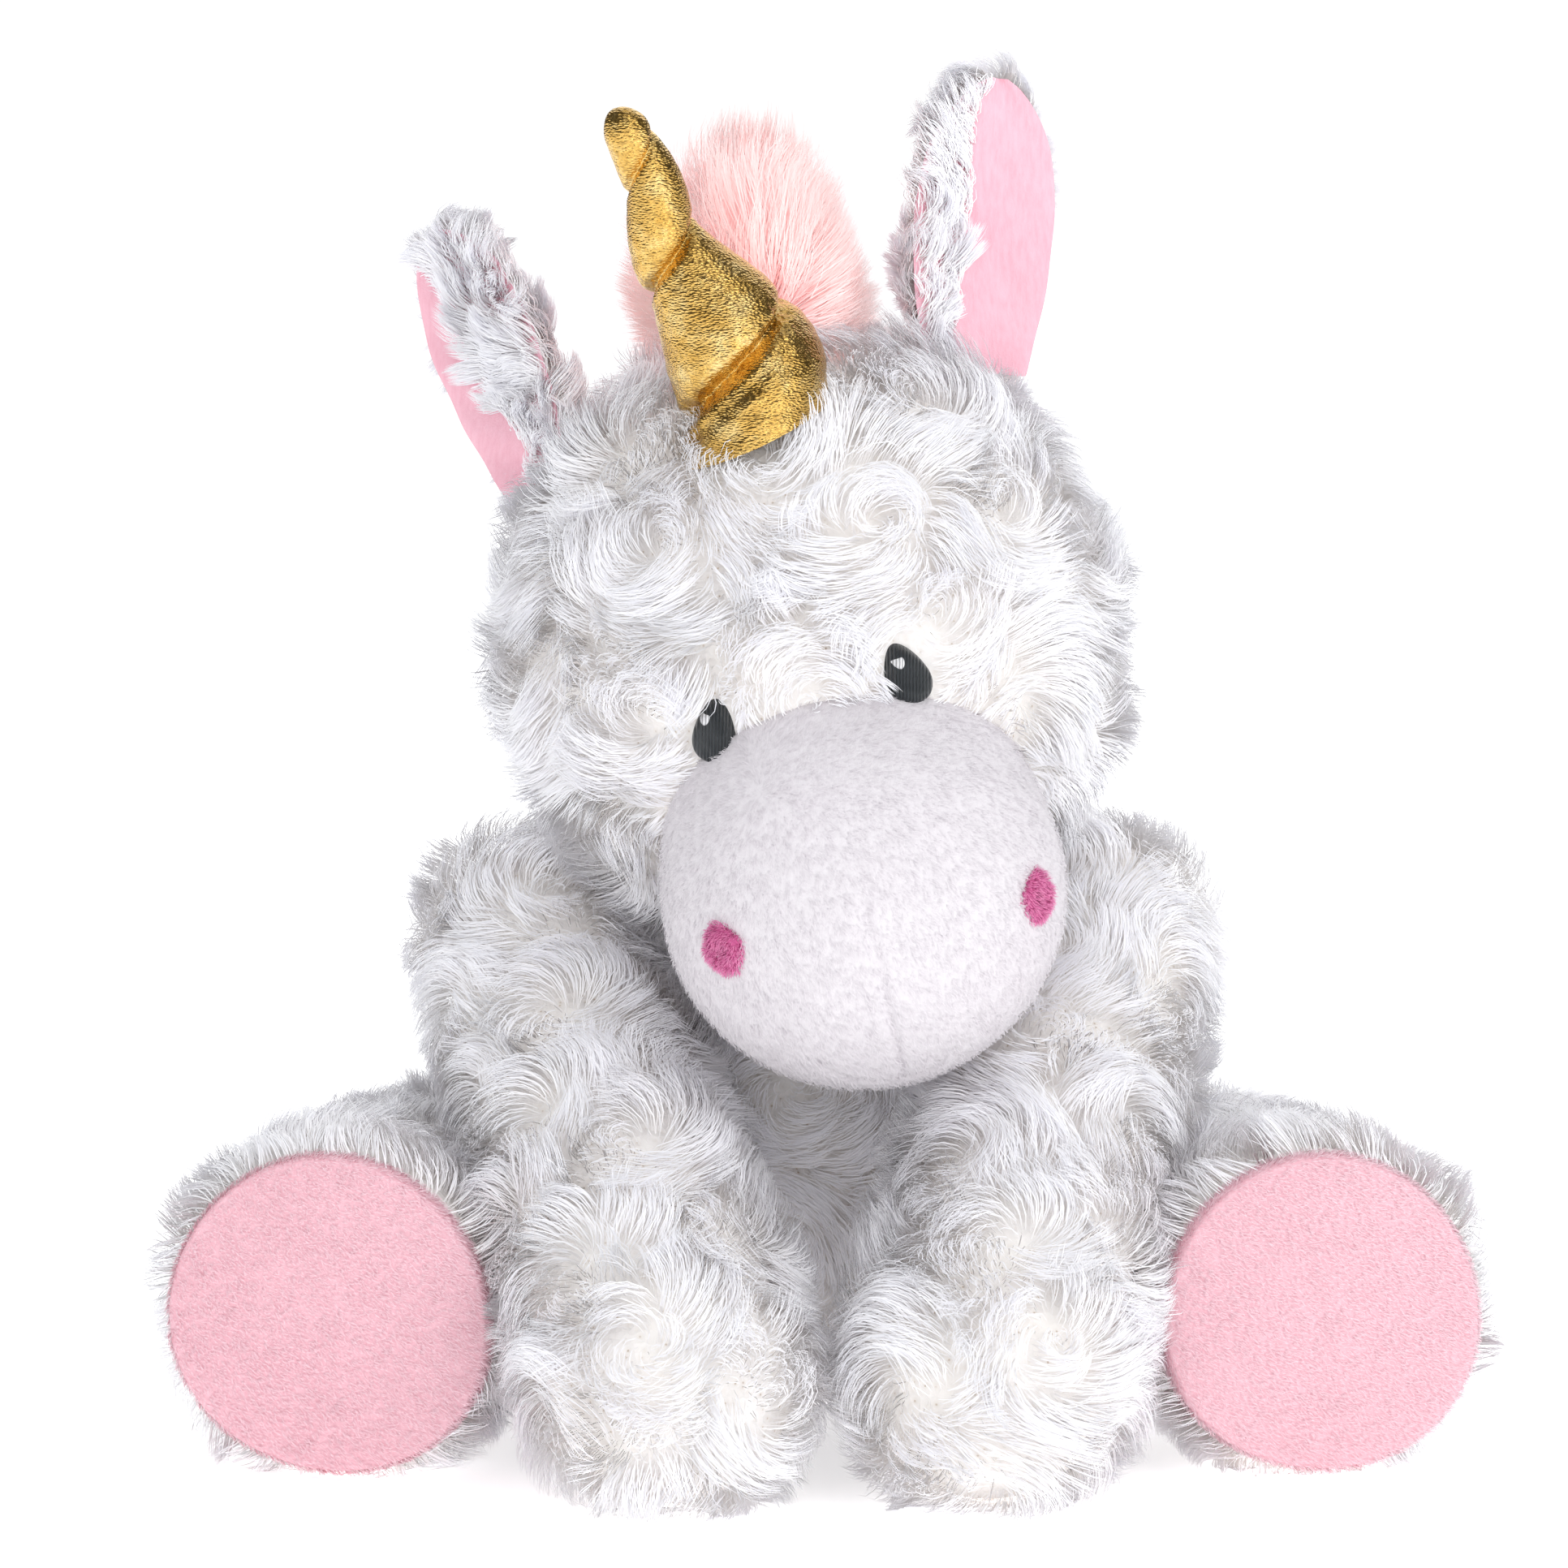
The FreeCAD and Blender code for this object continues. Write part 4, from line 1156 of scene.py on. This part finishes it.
def foot_pad(side):
    """A domed sole whose edge is drawn in by its seam."""
    node = f"foot_pad_{side}"
    middle, _, _, facing = main_axes(cad_points(node))
    facing = -facing * np.sign(facing[1])
    up = unit(UP - facing * np.dot(UP, facing))
    right = np.cross(up, facing)
    rings, spokes = 30, 84
    share, angle = disc_grid(rings, spokes)
    uneven = 1 + 0.018 * np.cos(2 * angle + 0.6) + 0.014 * np.cos(3 * angle + 1.9)
    flat = np.sin(np.clip(share, 0, 1) * np.pi / 2 * 1.06)
    reach = 36.6 * MM * flat * uneven
    bulge = 3.4 * MM * (1 - share**2) - 5.5 * MM * np.clip((share - 0.8) / 0.2, 0, 1) ** 2 + 0.6 * MM
    points = (middle + right * (reach * np.cos(angle))[:, None] + up * (reach * np.sin(angle))[:, None]
              + facing * bulge[:, None])
    obj = mesh_object(f"sole_{side}", points, disc_faces(rings, spokes))
    puff(obj, 2.2 * MM, 3.0, np.arange(len(points) - 2 * spokes, len(points)))
    points = points_of(obj.data)
    puckers = 0.3 * MM * np.sin(angle * 29 + 2 * np.sin(angle * 3)) * bump(share - 0.86, 0.09)
    dents = -0.9 * MM * bump(share - 0.62, 0.3) * (0.5 + 0.5 * np.sin(angle * 3 + 1.0)) ** 3
    move_points(obj.data, points + facing * (puckers + dents)[:, None])
    on_or_above(obj, PILE_GAP)
    subdivide(obj)
    nap(f"sole_pile_{side}", f"hind_leg_{side}", obj, 22000, 55, 1.8 * MM, right - up * 0.45,
        "pink_plush", PAD_NAP, lean=(35, 60, 78))
    declare(obj, f"hind_leg_{side}", [node], PAD_PLUSH)
    return middle, facing


def hind_leg(side, seed):
    name = f"hind_leg_{side}"
    skin = leg_skin(name, 5 * MM, 2 * MM)
    middle, facing = foot_pad(side)

    def off_sole(points):
        ahead = (points - middle) @ facing
        return ahead < -2.5 * MM

    def style(points, normals, lay):
        """Round the sole the pile stands out from the rim."""
        away = points - middle
        depth = -(away @ facing)
        out = unit(away - (away @ facing)[:, None] * facing)
        near = bump(np.maximum(depth - 2 * MM, 0), 12 * MM)[:, None]
        lay["flow"] = unit(lay["flow"] * (1 - 0.5 * near) - facing * near * 0.5 + out * near * 0.2)
        lay["stand"] = np.maximum(lay["stand"], 0.5 * near[:, 0])
        return 1 - 0.3 * near[:, 0]

    curly_pile(name + "_pile", name, skin, 33000, seed, length=15.5 * MM, spacing=25 * MM,
               where=off_sole, style=style)


# ---- making the toy --------------------------------------

gathering = frame["nodes"]["neck_gathering_thread"].data.materials
gathering.clear()
gathering.append(WHITE_THREAD)

head()
horn()
ear("right", -0.35, 1.1, 41)
ear("left", -1.1, -0.2, 42)
mane()
tail()
neck()
torso()
front_leg("right", 51)
front_leg("left", 52)
hind_leg("right", 53)
hind_leg("left", 54)


# ---- floor, light and camera -----------------------------


def floor():
    """A white sweep, bright enough to have no edge."""
    made = Nodes("studio_floor")
    made.colour(made.ramp(made.noise(2.0), (0.0, tint(250, 250, 250)), (1.0, tint(255, 255, 255))))
    made.set(Roughness=0.9, Specular_IOR_Level=0.1, Emission_Strength=0.42)
    made.set(Emission_Color=tint(255, 255, 255))
    size = 12.0
    obj = mesh_object("floor", [[-size, -size, 0], [size, -size, 0], [size, size, 0], [-size, size, 0]],
                      [[0, 1, 2, 3]])
    obj.location.z = -0.3 * MM
    obj.data.materials.append(made.material)


def softbox(name, place, size, power):
    data = bpy.data.lights.new(name, "AREA")
    data.shape = "RECTANGLE"
    data.size, data.size_y = size
    data.energy = power
    obj = link(name, data)
    obj.location = place
    obj.rotation_euler = (Vector((0, 0, 0.14)) - Vector(place)).to_track_quat("-Z", "Y").to_euler()


def surroundings():
    """A white backdrop, softer light all round, and a dark room in what the foil reflects."""
    world = bpy.data.worlds.new("studio")
    world.use_nodes = True
    bpy.context.scene.world = world
    tree = world.node_tree
    backdrop = tree.nodes["Background"]
    backdrop.inputs["Color"].default_value = (1.0, 1.0, 1.0, 1.0)
    backdrop.inputs["Strength"].default_value = 1.06
    ray = tree.nodes.new("ShaderNodeLightPath")
    shown = backdrop.outputs["Background"]
    for kind, colour in (("Is Diffuse Ray", (0.74, 0.75, 0.77, 1.0)),
                         ("Is Glossy Ray", (0.09, 0.085, 0.075, 1.0))):
        room = tree.nodes.new("ShaderNodeBackground")
        room.inputs["Color"].default_value = colour
        mixed = tree.nodes.new("ShaderNodeMixShader")
        tree.links.new(ray.outputs[kind], mixed.inputs["Fac"])
        tree.links.new(shown, mixed.inputs[1])
        tree.links.new(room.outputs["Background"], mixed.inputs[2])
        shown = mixed.outputs["Shader"]
    tree.links.new(shown, tree.nodes["World Output"].inputs["Surface"])


def camera():
    data = bpy.data.cameras.new("camera")
    data.lens, data.sensor_width = 148.2, 36.0
    obj = link("camera", data)
    target = Vector((-9.35 * MM, -45.95 * MM, 152 * MM))
    down = math.radians(7)
    looking = Vector((0, math.cos(down), -math.sin(down)))
    obj.location = target - looking * 1.5
    obj.rotation_euler = looking.to_track_quat("-Z", "Y").to_euler()
    bpy.context.scene.camera = obj


BOUNCES = 20  # white pile is bright because light goes from strand to strand many times
floor()
softbox("key", (1.3, -1.8, 1.2), (1.4, 1.4), 16)
softbox("front", (-0.3, -2.4, 0.5), (1.6, 0.8), 8)
softbox("back", (0.2, 1.9, 1.5), (2.4, 1.4), 16)
softbox("top", (0.2, 0.1, 2.2), (1.6, 1.2), 5)
surroundings()
camera()
bpy.context.scene.view_settings.view_transform = "Standard"
bpy.context.scene.cycles.max_bounces = BOUNCES
bpy.context.scene.cycles.diffuse_bounces = BOUNCES
